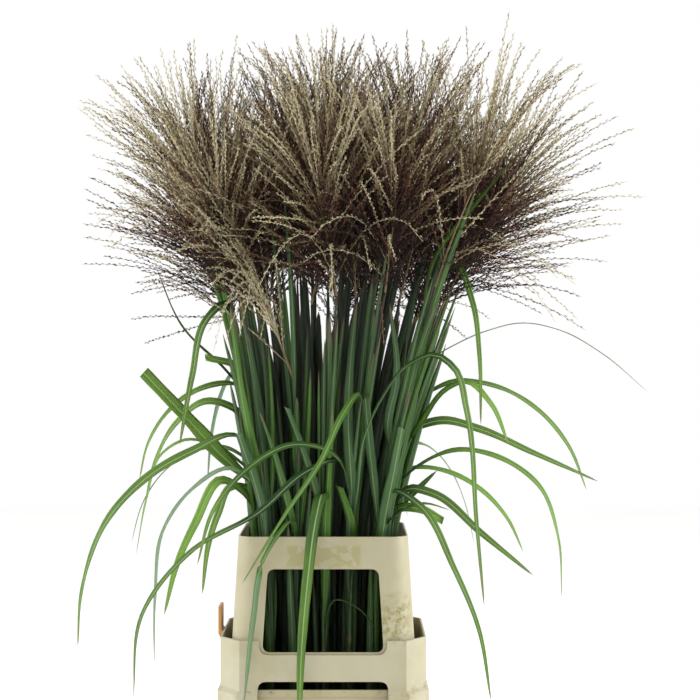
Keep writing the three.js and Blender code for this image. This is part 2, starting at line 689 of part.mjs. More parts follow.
function greenSolid(stem) {
  let solid = rod(stem.culm, culmRadii(), CULM.sides, false);
  for (const leaf of stem.blades) {
    const last = leaf.path.length - 1;
    const widths = leaf.path.map((_, k) => bladeWidth((leaf.cut ? BLADE.cutAt : 1) * (k / last), leaf.width));
    widths[0] = BLADE.root;
    solid = solid.add(blade(leaf, widths));
  }
  return solid;
}

function panicleSolid(stem) {
  const radii = stem.axis.map((_, k) => AXIS.foot + ((AXIS.top - AXIS.foot) * k) / (AXIS.rings - 1));
  const [below, top] = stem.culm.slice(-2);
  let solid = rod(stem.axis, radii, AXIS.sides, false, unit(add(top, below, -1)));
  for (const path of stem.racemes) {
    solid = solid.add(rod(path, [RACEME.root, RACEME.radius, 0], 3, true));
  }
  return solid;
}

// Water fills the bucket to its level, with a plain hole round each culm
function waterSolid() {
  const inset = WALL + GAP;
  const bottom = BUCKET.floor + GAP;
  let solid = ringSolid([
    ringAt(bucketOutline(bucketHalf(bottom) - inset, 0), bottom),
    ringAt(bucketOutline(bucketHalf(WATER_TOP) - inset, 0), WATER_TOP),
  ]);
  for (const stem of stems) {
    const hole = rod([stemPoint(stem.stand, 0), stemPoint(stem.stand, WATER_TOP + CULM.foot)],
      [CULM.foot + GAP, CULM.foot + GAP], CULM.sides, false);
    solid = solid.subtract(hole);
  }
  return solid;
}

const plant = new THREE.Group();

function place(name, solid, finish) {
  const mesh = new THREE.Mesh(geometryOf(solid), new THREE.MeshStandardMaterial(finish));
  mesh.name = name;
  plant.add(mesh);
}

place('bucket', bucket(), COLOURS.bucket);
place('water', waterSolid(), COLOURS.water);
place('lower_collar', lowerCollar(), COLOURS.plastic);
place('upper_collar', upperCollar(), COLOURS.plastic);
for (const stem of stems) {
  const number = String(stem.index + 1).padStart(2, '0');
  place(`leafy_stem_${number}`, greenSolid(stem), COLOURS.leaf);
  place(`panicle_${number}`, panicleSolid(stem), COLOURS.panicle);
}

export default plant;
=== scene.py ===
"""Looks of the potted punktchen miscanthus: cut flowering stems of the grass, standing in water in a square
plastic bucket with two window collars on it.

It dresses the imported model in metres, +Z up, front towards -Y. Sizes below are in millimetres, as a maker
reads them, and are turned to metres when a mesh is made. The placement rule repeats the one that made the
packed stems, draw for draw, so every finer blade and raceme lies where its plain one does.
"""

import logging
import math
from dataclasses import dataclass, field
from enum import Enum
from typing import Iterable, Sequence

import bpy
import numpy as np
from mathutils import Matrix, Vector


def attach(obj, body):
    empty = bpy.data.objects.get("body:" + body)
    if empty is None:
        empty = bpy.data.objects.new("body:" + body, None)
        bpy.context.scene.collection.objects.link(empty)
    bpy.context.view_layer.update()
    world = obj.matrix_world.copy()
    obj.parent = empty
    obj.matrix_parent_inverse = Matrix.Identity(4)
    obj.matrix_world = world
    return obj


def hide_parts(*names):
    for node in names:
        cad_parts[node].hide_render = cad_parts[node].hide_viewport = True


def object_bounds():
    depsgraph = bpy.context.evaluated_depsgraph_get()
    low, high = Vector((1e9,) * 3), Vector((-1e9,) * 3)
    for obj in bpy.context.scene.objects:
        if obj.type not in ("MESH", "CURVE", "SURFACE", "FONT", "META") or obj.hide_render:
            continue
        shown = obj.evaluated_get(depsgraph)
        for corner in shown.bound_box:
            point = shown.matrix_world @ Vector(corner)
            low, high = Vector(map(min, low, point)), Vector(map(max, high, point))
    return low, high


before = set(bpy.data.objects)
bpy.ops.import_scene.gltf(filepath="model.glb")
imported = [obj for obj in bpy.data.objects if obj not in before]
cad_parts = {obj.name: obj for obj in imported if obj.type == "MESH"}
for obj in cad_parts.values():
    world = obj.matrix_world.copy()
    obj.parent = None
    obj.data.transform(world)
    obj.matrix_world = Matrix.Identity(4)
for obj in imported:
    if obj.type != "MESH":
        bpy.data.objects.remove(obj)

CAD_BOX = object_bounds()
LOG = logging.getLogger("miscanthus")
Array = np.ndarray

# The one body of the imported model
BODY = "root"
# A millimetre in metres
MM = 0.001
# Room between two pieces that stand in each other, the rim's height and the thickness of the bucket's floor
GAP = 0.4
RIM_Z = 480
BUCKET_FLOOR = 4
UP = np.array([0, 0, 1.0])
# A direction that no stem, blade or raceme runs along, which gives each a direction across
OFF_AXIS = np.array([0.31, 0.95, 0.02])


# ---------------------------------------------------------------- meshes from whole arrays


class Ends(Enum):
    """How a skin of rings is closed."""

    POINTED = "a fan joins the first and the last ring to its middle"
    FLAT = "one flat face fills the first and the last ring"
    JOINED = "the last ring is joined to the first"


@dataclass
class Skin:
    """A closed surface in millimetres.

    Attributes:
        faces: groups of faces, each an array with one face a row.
        qualities: a value a point for each named quality that a finish reads.
        finish: the place of its finish in the piece's list.
    """

    points: Array
    faces: list[Array]
    qualities: dict[str, Array] = field(default_factory=dict)
    finish: int = 0


def unit(vectors: Array) -> Array:
    """Vectors along the last axis, each brought to length 1."""
    return vectors / np.linalg.norm(vectors, axis=-1, keepdims=True)


def heading(azimuth: float) -> Array:
    """The level direction at an azimuth."""
    return np.array([math.cos(azimuth), math.sin(azimuth), 0.0])


def crossways(azimuth: float) -> Array:
    """The level direction to the left of an azimuth."""
    return np.array([-math.sin(azimuth), math.cos(azimuth), 0.0])


def square_to(along: Array) -> tuple[Array, Array]:
    """Two directions square to each run and to each other."""
    side = unit(np.cross(along, OFF_AXIS))
    return side, np.cross(along, side)


def parabola(ends: Array, s: Array) -> Array:
    """Points of the parabolas through a start, a middle and a tip: their sum, weighted by (1 - s)(1 - 2s),
    4s(1 - s) and s(2s - 1).

    Args:
        ends: start, middle and tip as [row, 3, xyz].
        s: shares of the way, as [row or 1, step, 1].

    Returns:
        Points as [row, step, xyz].
    """
    start, middle, tip = (ends[:, None, k] for k in range(3))
    return start * (1 - s) * (1 - 2 * s) + middle * 4 * s * (1 - s) + tip * s * (2 * s - 1)


def smoothstep(low: float, high: float, value: Array) -> Array:
    """0 below low and 1 above high, with the cubic 3t² - 2t³ between them."""
    t = np.clip((value - low) / (high - low), 0.0, 1.0)
    return t * t * (3.0 - 2.0 * t)


def carried(rings: Array, ends: Ends, finish: int = 0, **qualities: Array) -> Skin:
    """Skin over rows of rings: ring k of row n is joined to ring k + 1 by a quad for each of its sides.

    Args:
        rings: points as [row, ring, side, xyz], each ring anticlockwise seen from the ring after it.
        ends: how each row is closed.
        finish: the place of the finish in the piece's list.
        **qualities: values that spread to [row, ring, side].

    Returns:
        The closed skin of all rows.
    """
    rows, count, sides = rings.shape[:3]
    ids = np.arange(rows * count * sides).reshape(rows, count, sides)
    beside = np.roll(ids, -1, axis=2)
    last = count if ends is Ends.JOINED else count - 1
    above, above_beside = np.roll(ids, -1, axis=1), np.roll(beside, -1, axis=1)
    quads = np.stack([ids, beside, above_beside, above], axis=-1)
    faces = [quads[:, :last].reshape(-1, 4)]
    points = [rings.reshape(-1, 3)]
    spread = {name: np.broadcast_to(value, (rows, count, sides)) for name, value in qualities.items()}
    values = {name: [value.reshape(-1)] for name, value in spread.items()}
    if ends is Ends.FLAT:
        faces += [ids[:, 0, ::-1], ids[:, -1, :]]
    if ends is Ends.POINTED:
        foot = ids.size + np.arange(rows)[:, None] + np.zeros((1, sides), int)
        tip = foot + rows
        faces.append(np.stack([beside[:, 0], ids[:, 0], foot], axis=-1).reshape(-1, 3))
        faces.append(np.stack([ids[:, -1], beside[:, -1], tip], axis=-1).reshape(-1, 3))
        points += [rings[:, 0].mean(axis=1), rings[:, -1].mean(axis=1)]
        for name, value in spread.items():
            values[name] += [value[:, 0].mean(axis=1), value[:, -1].mean(axis=1)]
    joined = {name: np.concatenate(value) for name, value in values.items()}
    return Skin(np.concatenate(points), faces, joined, finish)


def run_length(points: Array) -> Array:
    """How far along a path each of its points lies."""
    return np.concatenate([[0.0], np.cumsum(np.linalg.norm(np.diff(points, axis=0), axis=1))])


def even_curve(points: Array, count: int) -> Array:
    """A smooth curve through points, in even steps: between each pair runs the cubic that has the
    neighbours' mean slope at both of its ends.

    Args:
        points: the points that it passes, one a row.
        count: how many points the curve is given by.

    Returns:
        The curve's points, one a row.
    """
    knots = run_length(points)
    slopes = np.gradient(points, knots, axis=0)
    at = np.linspace(0.0, knots[-1], count * 4)
    k = np.clip(np.searchsorted(knots, at, side="right") - 1, 0, len(points) - 2)
    step = (knots[k + 1] - knots[k])[:, None]
    t = (at - knots[k])[:, None] / step
    dense = (
        (1 + 2 * t) * (1 - t) ** 2 * points[k]
        + t * (1 - t) ** 2 * step * slopes[k]
        + t * t * (3 - 2 * t) * points[k + 1]
        + t * t * (t - 1) * step * slopes[k + 1]
    )
    run = run_length(dense)
    steps = np.linspace(0.0, run[-1], count)
    return np.stack([np.interp(steps, run, dense[:, axis]) for axis in range(3)], axis=1)


def tube_rings(path: Array, radii: Array, sides: int) -> Array:
    """Round rings along paths: ring k is the circle of radius r[k] square to the path at its point k.

    Args:
        path: points as [row, ring, xyz].
        radii: radius as [row, ring].
        sides: how many points a ring has.

    Returns:
        Points as [row, ring, side, xyz].
    """
    side, front = (way[:, :, None] for way in square_to(unit(np.gradient(path, axis=1))))
    angle = (2 * np.pi * np.arange(sides) / sides)[:, None]
    return path[:, :, None] + radii[:, :, None, None] * (np.cos(angle) * side + np.sin(angle) * front)


def place_in_scene(name: str, content: bpy.types.ID) -> bpy.types.Object:
    """Puts an object into the scene.

    Args:
        name: its name.
        content: its mesh, lamp or camera.

    Returns:
        The object.
    """
    thing = bpy.data.objects.new(name, content)
    bpy.context.scene.collection.objects.link(thing)
    return thing


def make_piece(
    name: str, skins: Sequence[Skin], finishes: Sequence[bpy.types.Material] = ()
) -> bpy.types.Object:
    """Puts skins into one mesh object at the origin, in metres, with smooth faces.

    Args:
        name: the object's name.
        skins: the closed skins.
        finishes: the materials that the skins' finish numbers name.

    Returns:
        The object, linked to the scene.
    """
    starts = np.concatenate([[0], np.cumsum([len(skin.points) for skin in skins])[:-1]])
    points = np.concatenate([skin.points for skin in skins]) * MM
    corners, sizes, slots = [], [], []
    for skin, start in zip(skins, starts):
        for faces in skin.faces:
            corners.append((faces + start).ravel())
            sizes.append(np.full(len(faces), faces.shape[1]))
            slots.append(np.full(len(faces), skin.finish))
    corner_ids = np.concatenate(corners).astype(np.int32)
    face_sizes = np.concatenate(sizes)
    mesh = bpy.data.meshes.new(name)
    mesh.vertices.add(len(points))
    mesh.vertices.foreach_set("co", points.astype(np.float32).ravel())
    mesh.loops.add(len(corner_ids))
    mesh.loops.foreach_set("vertex_index", corner_ids)
    mesh.polygons.add(len(face_sizes))
    first = np.concatenate([[0], np.cumsum(face_sizes)[:-1]]).astype(np.int32)
    mesh.polygons.foreach_set("loop_start", first)
    mesh.polygons.foreach_set("material_index", np.concatenate(slots).astype(np.int32))
    mesh.polygons.foreach_set("use_smooth", np.ones(len(face_sizes), bool))
    for quality in sorted({key for skin in skins for key in skin.qualities}):
        values = [skin.qualities.get(quality, np.zeros(len(skin.points))) for skin in skins]
        layer = mesh.attributes.new(quality, "FLOAT", "POINT")
        layer.data.foreach_set("value", np.concatenate(values).astype(np.float32))
    mesh.update(calc_edges=True)
    mesh.validate()
    for finish in finishes:
        mesh.materials.append(finish)
    return place_in_scene(name, mesh)


def seat(piece: bpy.types.Object, nodes: Sequence[str]) -> None:
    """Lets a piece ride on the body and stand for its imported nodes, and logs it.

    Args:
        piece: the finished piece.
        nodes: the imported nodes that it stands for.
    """
    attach(piece, BODY)
    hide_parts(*nodes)
    LOG.info("%s: %d faces, for %s", piece.name, len(piece.data.polygons), ", ".join(nodes))


# ---------------------------------------------------------------- finishes

SUM = {"operation": "ADD"}
DIFFERENCE = {"operation": "SUBTRACT"}
PRODUCT = {"operation": "MULTIPLY"}
BELOW = {"operation": "LESS_THAN"}
ABOVE = {"operation": "GREATER_THAN"}
SIZE = {"operation": "ABSOLUTE"}
COLOURS = {"data_type": "RGBA"}
SMOOTH = {"interpolation_type": "SMOOTHSTEP"}


def linear(code: str) -> tuple[float, float, float, float]:
    """Linear colour of an sRGB code.

    Args:
        code: the hex code, such as #e6dcc0.

    Returns:
        Red, green, blue and alpha.
    """
    parts = np.array([int(code[k : k + 2], 16) / 255 for k in (1, 3, 5)])
    flat = np.where(parts <= 0.04045, parts / 12.92, ((parts + 0.055) / 1.055) ** 2.4)
    return (*flat.tolist(), 1.0)


class Passage(Enum):
    """How a pattern passes from its low to its high value."""

    SOFT = "SMOOTHSTEP"
    EVEN = "LINEAR"


class FinishTree:
    """A new material's node tree, with the three steps that the finishes here are made of."""

    def __init__(self, name: str) -> None:
        """Makes the material with an empty tree.

        Args:
            name: the material's name.
        """
        self.material = bpy.data.materials.new(name)
        self.material.use_nodes = True
        self.tree = self.material.node_tree
        self.tree.nodes.clear()
        self.place = self.add("TexCoord", {}, {}, "Object")

    def add(
        self, kind: str, settings: dict, inputs: dict, output: str | int = 0
    ) -> bpy.types.NodeSocket | None:
        """Adds a shader node with its settings, values and links.

        Args:
            kind: the node's type, without the leading ShaderNode.
            settings: its properties by name.
            inputs: by input name or place, an output socket to link, or a value or hex code to set.
            output: name or place of the output that is read.

        Returns:
            That output's socket, or nothing where the node has no outputs.
        """
        node = self.tree.nodes.new(f"ShaderNode{kind}")
        for name, value in settings.items():
            setattr(node, name, value)
        for name, value in inputs.items():
            if isinstance(value, bpy.types.NodeSocket):
                self.tree.links.new(value, node.inputs[name])
            else:
                node.inputs[name].default_value = linear(value) if isinstance(value, str) else value
        return node.outputs[output] if node.outputs else None

    def pattern(
        self,
        size: float,
        detail: float,
        low: float = 0.0,
        high: float = 1.0,
        stretch: tuple[float, float, float] = (1, 1, 1),
        passage: Passage = Passage.SOFT,
        span: tuple[float, float] = (0.0, 1.0),
    ) -> bpy.types.NodeSocket:
        """Cloudy noise, with its values from low to high taken to the ends of a span.

        Args:
            size: how large its patches are, in millimetres.
            detail: how many finer layers it has.
            low: the noise where the pattern starts.
            high: the noise where the pattern is full.
            stretch: how many times finer it is along X, Y and Z.
            passage: how it goes from start to full.
            span: its value at the start and where it is full.

        Returns:
            The pattern's socket.
        """
        place = self.add("Mapping", {}, {"Vector": self.place, "Scale": stretch})
        inputs = {"Vector": place, "Scale": 1 / (size * MM), "Detail": detail}
        noise = self.add("TexNoise", {}, inputs)
        inputs = {0: noise, 1: low, 2: high, 3: span[0], 4: span[1]}
        return self.add("MapRange", {"interpolation_type": passage.value}, inputs)

    def lay(self, under: object, over: object, *shares: object) -> bpy.types.NodeSocket:
        """One colour laid over another, as far as the product of the shares says.

        Args:
            under: the colour below, as a hex code or a socket.
            over: the colour on top, as a hex code or a socket.
            *shares: values or sockets that are multiplied.

        Returns:
            The resulting colour's socket.
        """
        seen = shares[0]
        for share in shares[1:]:
            seen = self.add("Math", PRODUCT, {0: seen, 1: share})
        return self.add("Mix", COLOURS, {0: seen, 6: under, 7: over}, 2)

    def finished(self, shader: bpy.types.NodeSocket) -> bpy.types.Material:
        """Links the shader to the surface and gives the material."""
        self.add("OutputMaterial", {}, {"Surface": shader})
        return self.material


@dataclass(frozen=True)
class Patch:
    """An upright rectangle with a soft edge, seen from the front. Sizes in millimetres.

    Attributes:
        soft: how far its soft edge reaches to each side.
    """

    across: tuple[float, float]
    up: tuple[float, float]
    soft: float

    def share(self, tree: FinishTree) -> bpy.types.NodeSocket:
        """A share that is 1 inside the rectangle and 0 outside it: a smooth rise at its left and its
        bottom and a smooth fall at its right and its top, multiplied.

        Args:
            tree: the finish's tree.

        Returns:
            The share's socket.
        """
        share = 1.0
        for axis, ends in (("X", self.across), ("Z", self.up)):
            place = tree.add("SeparateXYZ", {}, {"Vector": tree.place}, axis)
            for end, span in zip(ends, ((0.0, 1.0), (1.0, 0.0))):
                low, high = (end - self.soft) * MM, (end + self.soft) * MM
                passed = tree.add("MapRange", SMOOTH, {0: place, 1: low, 2: high, 3: span[0], 4: span[1]})
                share = tree.add("Math", PRODUCT, {0: passed, 1: share})
        return share


@dataclass(frozen=True)
class AgedPolypropylene:
    """Injection-moulded polypropylene, grown yellow with use: a satin cream wall with a fine moulded
    grain, faint clouds and runs, a painted orange-brown glow of light through it where its lugs are thin and
    along a thin edge at the front, torn patches of old glue, and dirt and moss that gather near the ledges.

    Attributes:
        lug_x: where the lugs stand, in millimetres to the left of the middle.
        lug_z: how high the lugs start, in millimetres.
        front: where the front wall starts and where it is full, in millimetres along Y.
        is_glued: whether the front wears the old glue.
    """

    name: str
    base: str = "#9d977c"
    aged: str = "#8e8662"
    runs: str = "#a19468"
    # painted glow: the orange-brown of light passing through thin plastic
    amber_glow: str = "#b57a33"
    glue: str = "#8b8558"
    moss: str = "#7b733f"
    dust: str = "#83744c"
    grit: str = "#2b2618"
    lug_x: float = 149.0
    lug_z: float = 300.0
    lug_half: float = 24.0
    front: tuple[float, float] = (-100.0, -104.0)
    is_glued: bool = True
    glue_patch: Patch = Patch((-52, 53), (437, 467), 3.0)
    thin_edge: Patch = Patch((-68, 68), (425.4, 427.2), 1.0)
    moss_patch: Patch = Patch((82, 122), (336, 392), 14.0)
    ledge: Patch = Patch((-160, 160), (255, 268), 7.0)

    def material(self) -> bpy.types.Material:
        """Builds the material.

        Returns:
            The material.
        """
        tree = FinishTree(self.name)
        x, y, z = (tree.add("SeparateXYZ", {}, {"Vector": tree.place}, axis) for axis in "XYZ")
        clouds = tree.pattern(size=60, detail=4, low=0.38, high=0.72)
        colour = tree.lay(self.base, self.aged, clouds, 0.55)
        streaks = tree.pattern(size=14, detail=3, low=0.55, high=0.8, stretch=(1, 1, 0.16))
        colour = tree.lay(colour, self.runs, streaks, 0.25)

        # painted glow: the lugs, where the wall is thin, are coloured orange-brown as if lit through from
        # behind
        outside = {0: x, 1: -(self.lug_x + 3) * MM, 2: -self.lug_x * MM, 3: 1.0, 4: 0.0}
        is_out = tree.add("MapRange", SMOOTH, outside)
        off_middle = tree.add("Math", SIZE, {0: y})
        is_narrow = tree.add("Math", BELOW, {0: off_middle, 1: self.lug_half * MM})
        is_high = tree.add("Math", ABOVE, {0: z, 1: self.lug_z * MM})
        colour = tree.lay(colour, self.amber_glow, is_out, is_narrow, is_high, 0.85)

        start, full = (y_mm * MM for y_mm in self.front)
        front = tree.add("MapRange", SMOOTH, {0: y, 1: full, 2: start, 3: 1.0, 4: 0.0})
        if self.is_glued:
            torn = tree.pattern(size=16, detail=6, low=0.44, high=0.5)
            colour = tree.lay(colour, self.glue, self.glue_patch.share(tree), torn, front, 0.75)
            # painted glow: a thin orange-brown line along the thin edge at the front
            colour = tree.lay(colour, self.amber_glow, self.thin_edge.share(tree), front, 0.45)

        spots = tree.pattern(size=9, detail=5, low=0.4, high=0.6)
        corner = tree.add("Math", PRODUCT, {0: self.moss_patch.share(tree), 1: front})
        moss = tree.add("Math", PRODUCT, {0: corner, 1: spots})
        colour = tree.lay(colour, self.moss, moss, 0.85)
        dirt = tree.pattern(size=9, detail=5, low=0.5, high=0.62)
        ledge = tree.add("Math", PRODUCT, {0: self.ledge.share(tree), 1: dirt})
        colour = tree.lay(colour, self.dust, ledge, 0.4)
        specks = tree.pattern(size=2.2, detail=2, low=0.6, high=0.68)
        both = tree.add("Math", {"operation": "MULTIPLY_ADD"}, {0: moss, 1: 1.2, 2: ledge})
        colour = tree.lay(colour, self.grit, both, specks)

        moulded = tree.pattern(size=1.6, detail=3, passage=Passage.EVEN)
        inputs = {
            "Base Color": colour,
            "Roughness": tree.pattern(size=25, detail=3, low=0.3, high=0.7, span=(0.42, 0.6)),
            "IOR": 1.49,
            "Subsurface Weight": 0.12,
            "Subsurface Radius": (0.004, 0.003, 0.0015),
            "Subsurface Scale": 1.0,
            "Normal": tree.add("Bump", {}, {"Height": moulded, "Distance": 0.12 * MM, "Strength": 0.5}),
        }
        return tree.finished(tree.add("BsdfPrincipled", {}, inputs))


@dataclass(frozen=True)
class StandingWater:
    """Water that stems have stood in: clear at the edge, a little green and cloudy, and mirror smooth."""

    name: str = "standing_water"
    green: str = "#8c9a80"
    cloudy: str = "#a4ad92"

    def material(self) -> bpy.types.Material:
        """Builds the material.

        Returns:
            The material.
        """
        tree = FinishTree(self.name)
        clouds = tree.pattern(size=40, detail=2, low=0.35, high=0.65)
        stir = tree.pattern(size=18, detail=1, passage=Passage.EVEN)
        inputs = {
            "Base Color": tree.lay(self.green, self.cloudy, clouds),
            "Roughness": 0.06,
            "IOR": 1.333,
            "Transmission Weight": 0.7,
            "Normal": tree.add("Bump", {}, {"Height": stir, "Distance": 0.3 * MM, "Strength": 0.3}),
        }
        return tree.finished(tree.add("BsdfPrincipled", {}, inputs))


@dataclass(frozen=True)
class LivingBlade:
    """A living grass blade: deep blue-green to fresh green with a whitish midrib and fine parallel veins,
    grey-green and waxy below, and it lets light through, so that it glows yellow-green against the light.
    The blades out at the sides also get a painted backlight in their colour, and painted shade darkens it
    deep in the bundle.

    Attributes:
        furrow: colour between the veins.
        lit: colour of the light that comes through, and of the painted backlight on the blades that hang out
            at the sides.
        backlit_haze: colour of their waxy lower face, made paler by painted backlight.
        shade: painted shade that it sinks to deep in the bundle, where little light reaches between the
            stems.
        veins: how many veins are drawn across. The real ones are 0.5 mm apart, which is too fine to show,
            so they are drawn about 1.5 mm apart.
        turned: values of the quality upper between which a face passes from lower to upper.
    """

    name: str = "living_grass_blade"
    deep: str = "#233f1e"
    fresh: str = "#588328"
    under: str = "#415f38"
    furrow: str = "#1e3c22"
    rib: str = "#a9bd8a"
    tip: str = "#746152"
    lit: str = "#90b752"
    backlit_haze: str = "#9db498"
    shade: str = "#070d06"
    veins: float = 6.0
    turned: tuple[float, float] = (0.35, 0.65)
    through: float = 0.3

    def material(self) -> bpy.types.Material:
        """Builds the material.

        Returns:
            The material.
        """
        tree = FinishTree(self.name)
        across, along, tint, upper, is_open, beside = (
            tree.add("Attribute", {"attribute_name": quality}, {}, "Fac")
            for quality in ("across", "along", "tint", "upper", "open", "beside")
        )
        mottled = tree.pattern(size=45, detail=3, passage=Passage.EVEN, span=(-0.35, 0.35))
        age = tree.add("Math", SUM, {0: tint, 1: mottled})
        green = tree.lay(self.deep, self.fresh, tree.add("MapRange", SMOOTH, {0: age}))
        young = tree.add("MapRange", SMOOTH, {0: age, 1: 0.3, 4: 0.7})
        waxy = tree.lay(self.under, self.fresh, young)
        low, high = self.turned
        is_upper = tree.add("MapRange", SMOOTH, {0: upper, 1: low, 2: high})
        colour = tree.lay(waxy, green, is_upper)

        turns = tree.add("Math", PRODUCT, {0: across, 1: 2 * math.pi * self.veins})
        wave = tree.add("Math", {"operation": "SINE"}, {0: turns})
        vein = tree.add("MapRange", SMOOTH, {0: wave, 1: -0.2})
        colour = tree.lay(colour, self.furrow, vein, 0.18)
        from_middle = tree.add("Math", SIZE, {0: across})
        rib = tree.add("MapRange", SMOOTH, {0: from_middle, 1: 0.05, 2: 0.15, 3: 1.0, 4: 0.0})
        seen = tree.add("MapRange", SMOOTH, {0: upper, 1: low, 2: high, 3: 0.35, 4: 0.75})
        colour = tree.lay(colour, self.rib, rib, seen)

        ragged = tree.add("Math", {"operation": "MULTIPLY_ADD"}, {0: mottled, 1: 0.1, 2: along})
        dry = tree.add("MapRange", SMOOTH, {0: ragged, 1: 0.84})
        colour = tree.lay(colour, self.tip, dry, 0.8)
        # painted shade: the colour sinks towards the shade colour where the quality open is low, deep in the
        # bundle
        inside = tree.add("Math", DIFFERENCE, {0: 1.0, 1: is_open})
        colour = tree.lay(colour, self.shade, inside, 0.92)
        # painted backlight: blades out at the sides, and those that hang before the holder, are lightened
        # towards a pale backlit green on the upper face and a pale waxy green on the lower face
        hanging_lit = tree.lay(self.backlit_haze, self.lit, is_upper)
        older = tree.add("Math", DIFFERENCE, {0: age, 1: upper})
        lightness = tree.add("MapRange", SMOOTH, {0: older, 1: -1.0, 2: 0.8, 3: 0.28, 4: 0.72})
        colour = tree.lay(colour, hanging_lit, beside, lightness)

        height = tree.add("Math", DIFFERENCE, {0: rib, 1: vein})
        normal = tree.add("Bump", {}, {"Height": height, "Distance": 0.25 * MM, "Strength": 0.5})
        inputs = {
            "Base Color": colour,
            "Roughness": 0.48,
            "IOR": 1.4,
            "Specular IOR Level": 0.35,
            "Normal": normal,
        }
        face = tree.add("BsdfPrincipled", {}, inputs)
        glow = tree.lay(colour, self.lit, 0.4)
        behind = tree.add("BsdfTranslucent", {}, {"Color": glow, "Normal": normal})
        return tree.finished(tree.add("MixShader", {}, {0: self.through, 1: face, 2: behind}))


@dataclass(frozen=True)
class LivingCulm:
    """A living grass culm with its leaf sheaths: smooth olive cane that turns purple-brown towards the
    light, pale ribbed sheaths round it and a straw-coloured ring at each joint.
    """

    name: str = "living_grass_culm"
    cane: str = "#3c472a"
    ripe: str = "#4c3630"
    sheath: str = "#47683a"
    rib: str = "#2c3a1c"
    joint: str = "#8d7f50"
    # painted shade that the culm sinks to deep in the bundle
    shade: str = "#0d120b"

    def material(self) -> bpy.types.Material:
        """Builds the material.

        Returns:
            The material.
        """
        tree = FinishTree(self.name)
        tint, sheath, joint, is_open = (
            tree.add("Attribute", {"attribute_name": quality}, {}, "Fac")
            for quality in ("tint", "sheath", "joint", "open")
        )
        mottled = tree.pattern(
            size=30, detail=3, stretch=(1, 1, 0.3), passage=Passage.EVEN, span=(-0.3, 0.3)
        )
        age = tree.add("Math", SUM, {0: tint, 1: mottled})
        colour = tree.lay(self.cane, self.ripe, tree.add("MapRange", SMOOTH, {0: age, 1: 0.3}))
        colour = tree.lay(colour, self.sheath, sheath)
        ribs = tree.pattern(size=1.2, detail=1, low=0.35, high=0.65, stretch=(1, 1, 0.02))
        colour = tree.lay(colour, self.rib, ribs, 0.25)
        colour = tree.lay(colour, self.joint, joint)
        # painted shade: the culm sinks towards the shade colour where the quality open is low, deep in the
        # bundle
        inside = tree.add("Math", DIFFERENCE, {0: 1.0, 1: is_open})
        inputs = {
            "Base Color": tree.lay(colour, self.shade, inside, 0.92),
            "Roughness": 0.46,
            "IOR": 1.42,
            "Specular IOR Level": 0.35,
            "Normal": tree.add("Bump", {}, {"Height": ribs, "Distance": 0.15 * MM, "Strength": 0.5}),
        }
        return tree.finished(tree.add("BsdfPrincipled", {}, inputs))


@dataclass(frozen=True)
class RipeningRaceme:
    """A beaded raceme of hairy spikelets: dark maroon where it is young, then purple-brown, then grey straw
    where the silky hairs spread. The same colours paint the shade deep inside and low in the plume, and the
    light on its outside and top.
    """

    name: str = "ripening_raceme"
    # the dark colours also serve as painted shade deep in the plume, the pale ones as painted light on its
    # outside and top
    young: str = "#24140d"
    middle: str = "#4e3823"
    maroon: str = "#542b25"
    ripe: str = "#76694c"
    straw: str = "#b2a887"

    def material(self) -> bpy.types.Material:
        """Builds the material.

        Returns:
            The material.
        """
        tree = FinishTree(self.name)
        # ripe holds how ripe a raceme is, with painted shade and light laid in by its place in the plume
        own = tree.add("Attribute", {"attribute_name": "ripe"}, {}, "Fac")
        mottled = tree.pattern(size=6, detail=2, passage=Passage.EVEN, span=(-0.15, 0.15))
        ripe = tree.add("Math", SUM, {0: own, 1: mottled})
        blush = tree.pattern(size=110, detail=2, low=0.42, high=0.6)
        half_ripe = tree.lay(self.middle, self.maroon, blush)
        colour = self.young
        for over, low, high in ((half_ripe, 0.0, 0.4), (self.ripe, 0.35, 0.75), (self.straw, 0.75, 1.1)):
            colour = tree.lay(colour, over, tree.add("MapRange", SMOOTH, {0: ripe, 1: low, 2: high}))
        hairs = tree.pattern(size=0.8, detail=1, passage=Passage.EVEN)
        inputs = {
            "Base Color": colour,
            "Roughness": 0.8,
            "IOR": 1.4,
            "Specular IOR Level": 0.12,
            "Sheen Weight": 0.04,
            "Sheen Roughness": 0.5,
            "Normal": tree.add("Bump", {}, {"Height": hairs, "Distance": 0.1 * MM, "Strength": 0.4}),
        }
        return tree.finished(tree.add("BsdfPrincipled", {}, inputs))


@dataclass(frozen=True)
class PaintedFloor:
    """A floor painted matt white: even and pale, with hardly any grain."""

    name: str = "matt_painted_floor"
    light: str = "#fdfdfc"
    dull: str = "#f9f9f8"

    def material(self) -> bpy.types.Material:
        """Builds the material.

        Returns:
            The material.
        """
        tree = FinishTree(self.name)
        clouds = tree.pattern(size=400, detail=2, passage=Passage.EVEN)
        brushed = tree.pattern(size=3, detail=2, passage=Passage.EVEN)
        inputs = {
            "Base Color": tree.lay(self.dull, self.light, clouds),
            "Roughness": 0.8,
            "Normal": tree.add("Bump", {}, {"Height": brushed, "Distance": 0.05 * MM, "Strength": 0.3}),
        }
        return tree.finished(tree.add("BsdfPrincipled", {}, inputs))


# ---------------------------------------------------------------- where the grass stands

# Stems before this line of the unit square stand in front
FRONT_ROWS = -0.4


class Draws:
    """Random draws that come out alike on every run: each is the last times 48271, modulo 2^31 - 1."""

    FACTOR = 48271
    MODULUS = 2147483647

    def __init__(self, seed: int) -> None:
        """Starts a row of draws.

        Args:
            seed: the whole number that names the row.
        """
        self.state = seed * 7919 + 17
        self.next()
        self.next()

    def next(self) -> float:
        """The next draw, from 0 to 1."""
        self.state = (self.state * self.FACTOR) % self.MODULUS
        return self.state / self.MODULUS

    def between(self, low: float, high: float) -> float:
        """The next draw, from low to high."""
        return low + (high - low) * self.next()


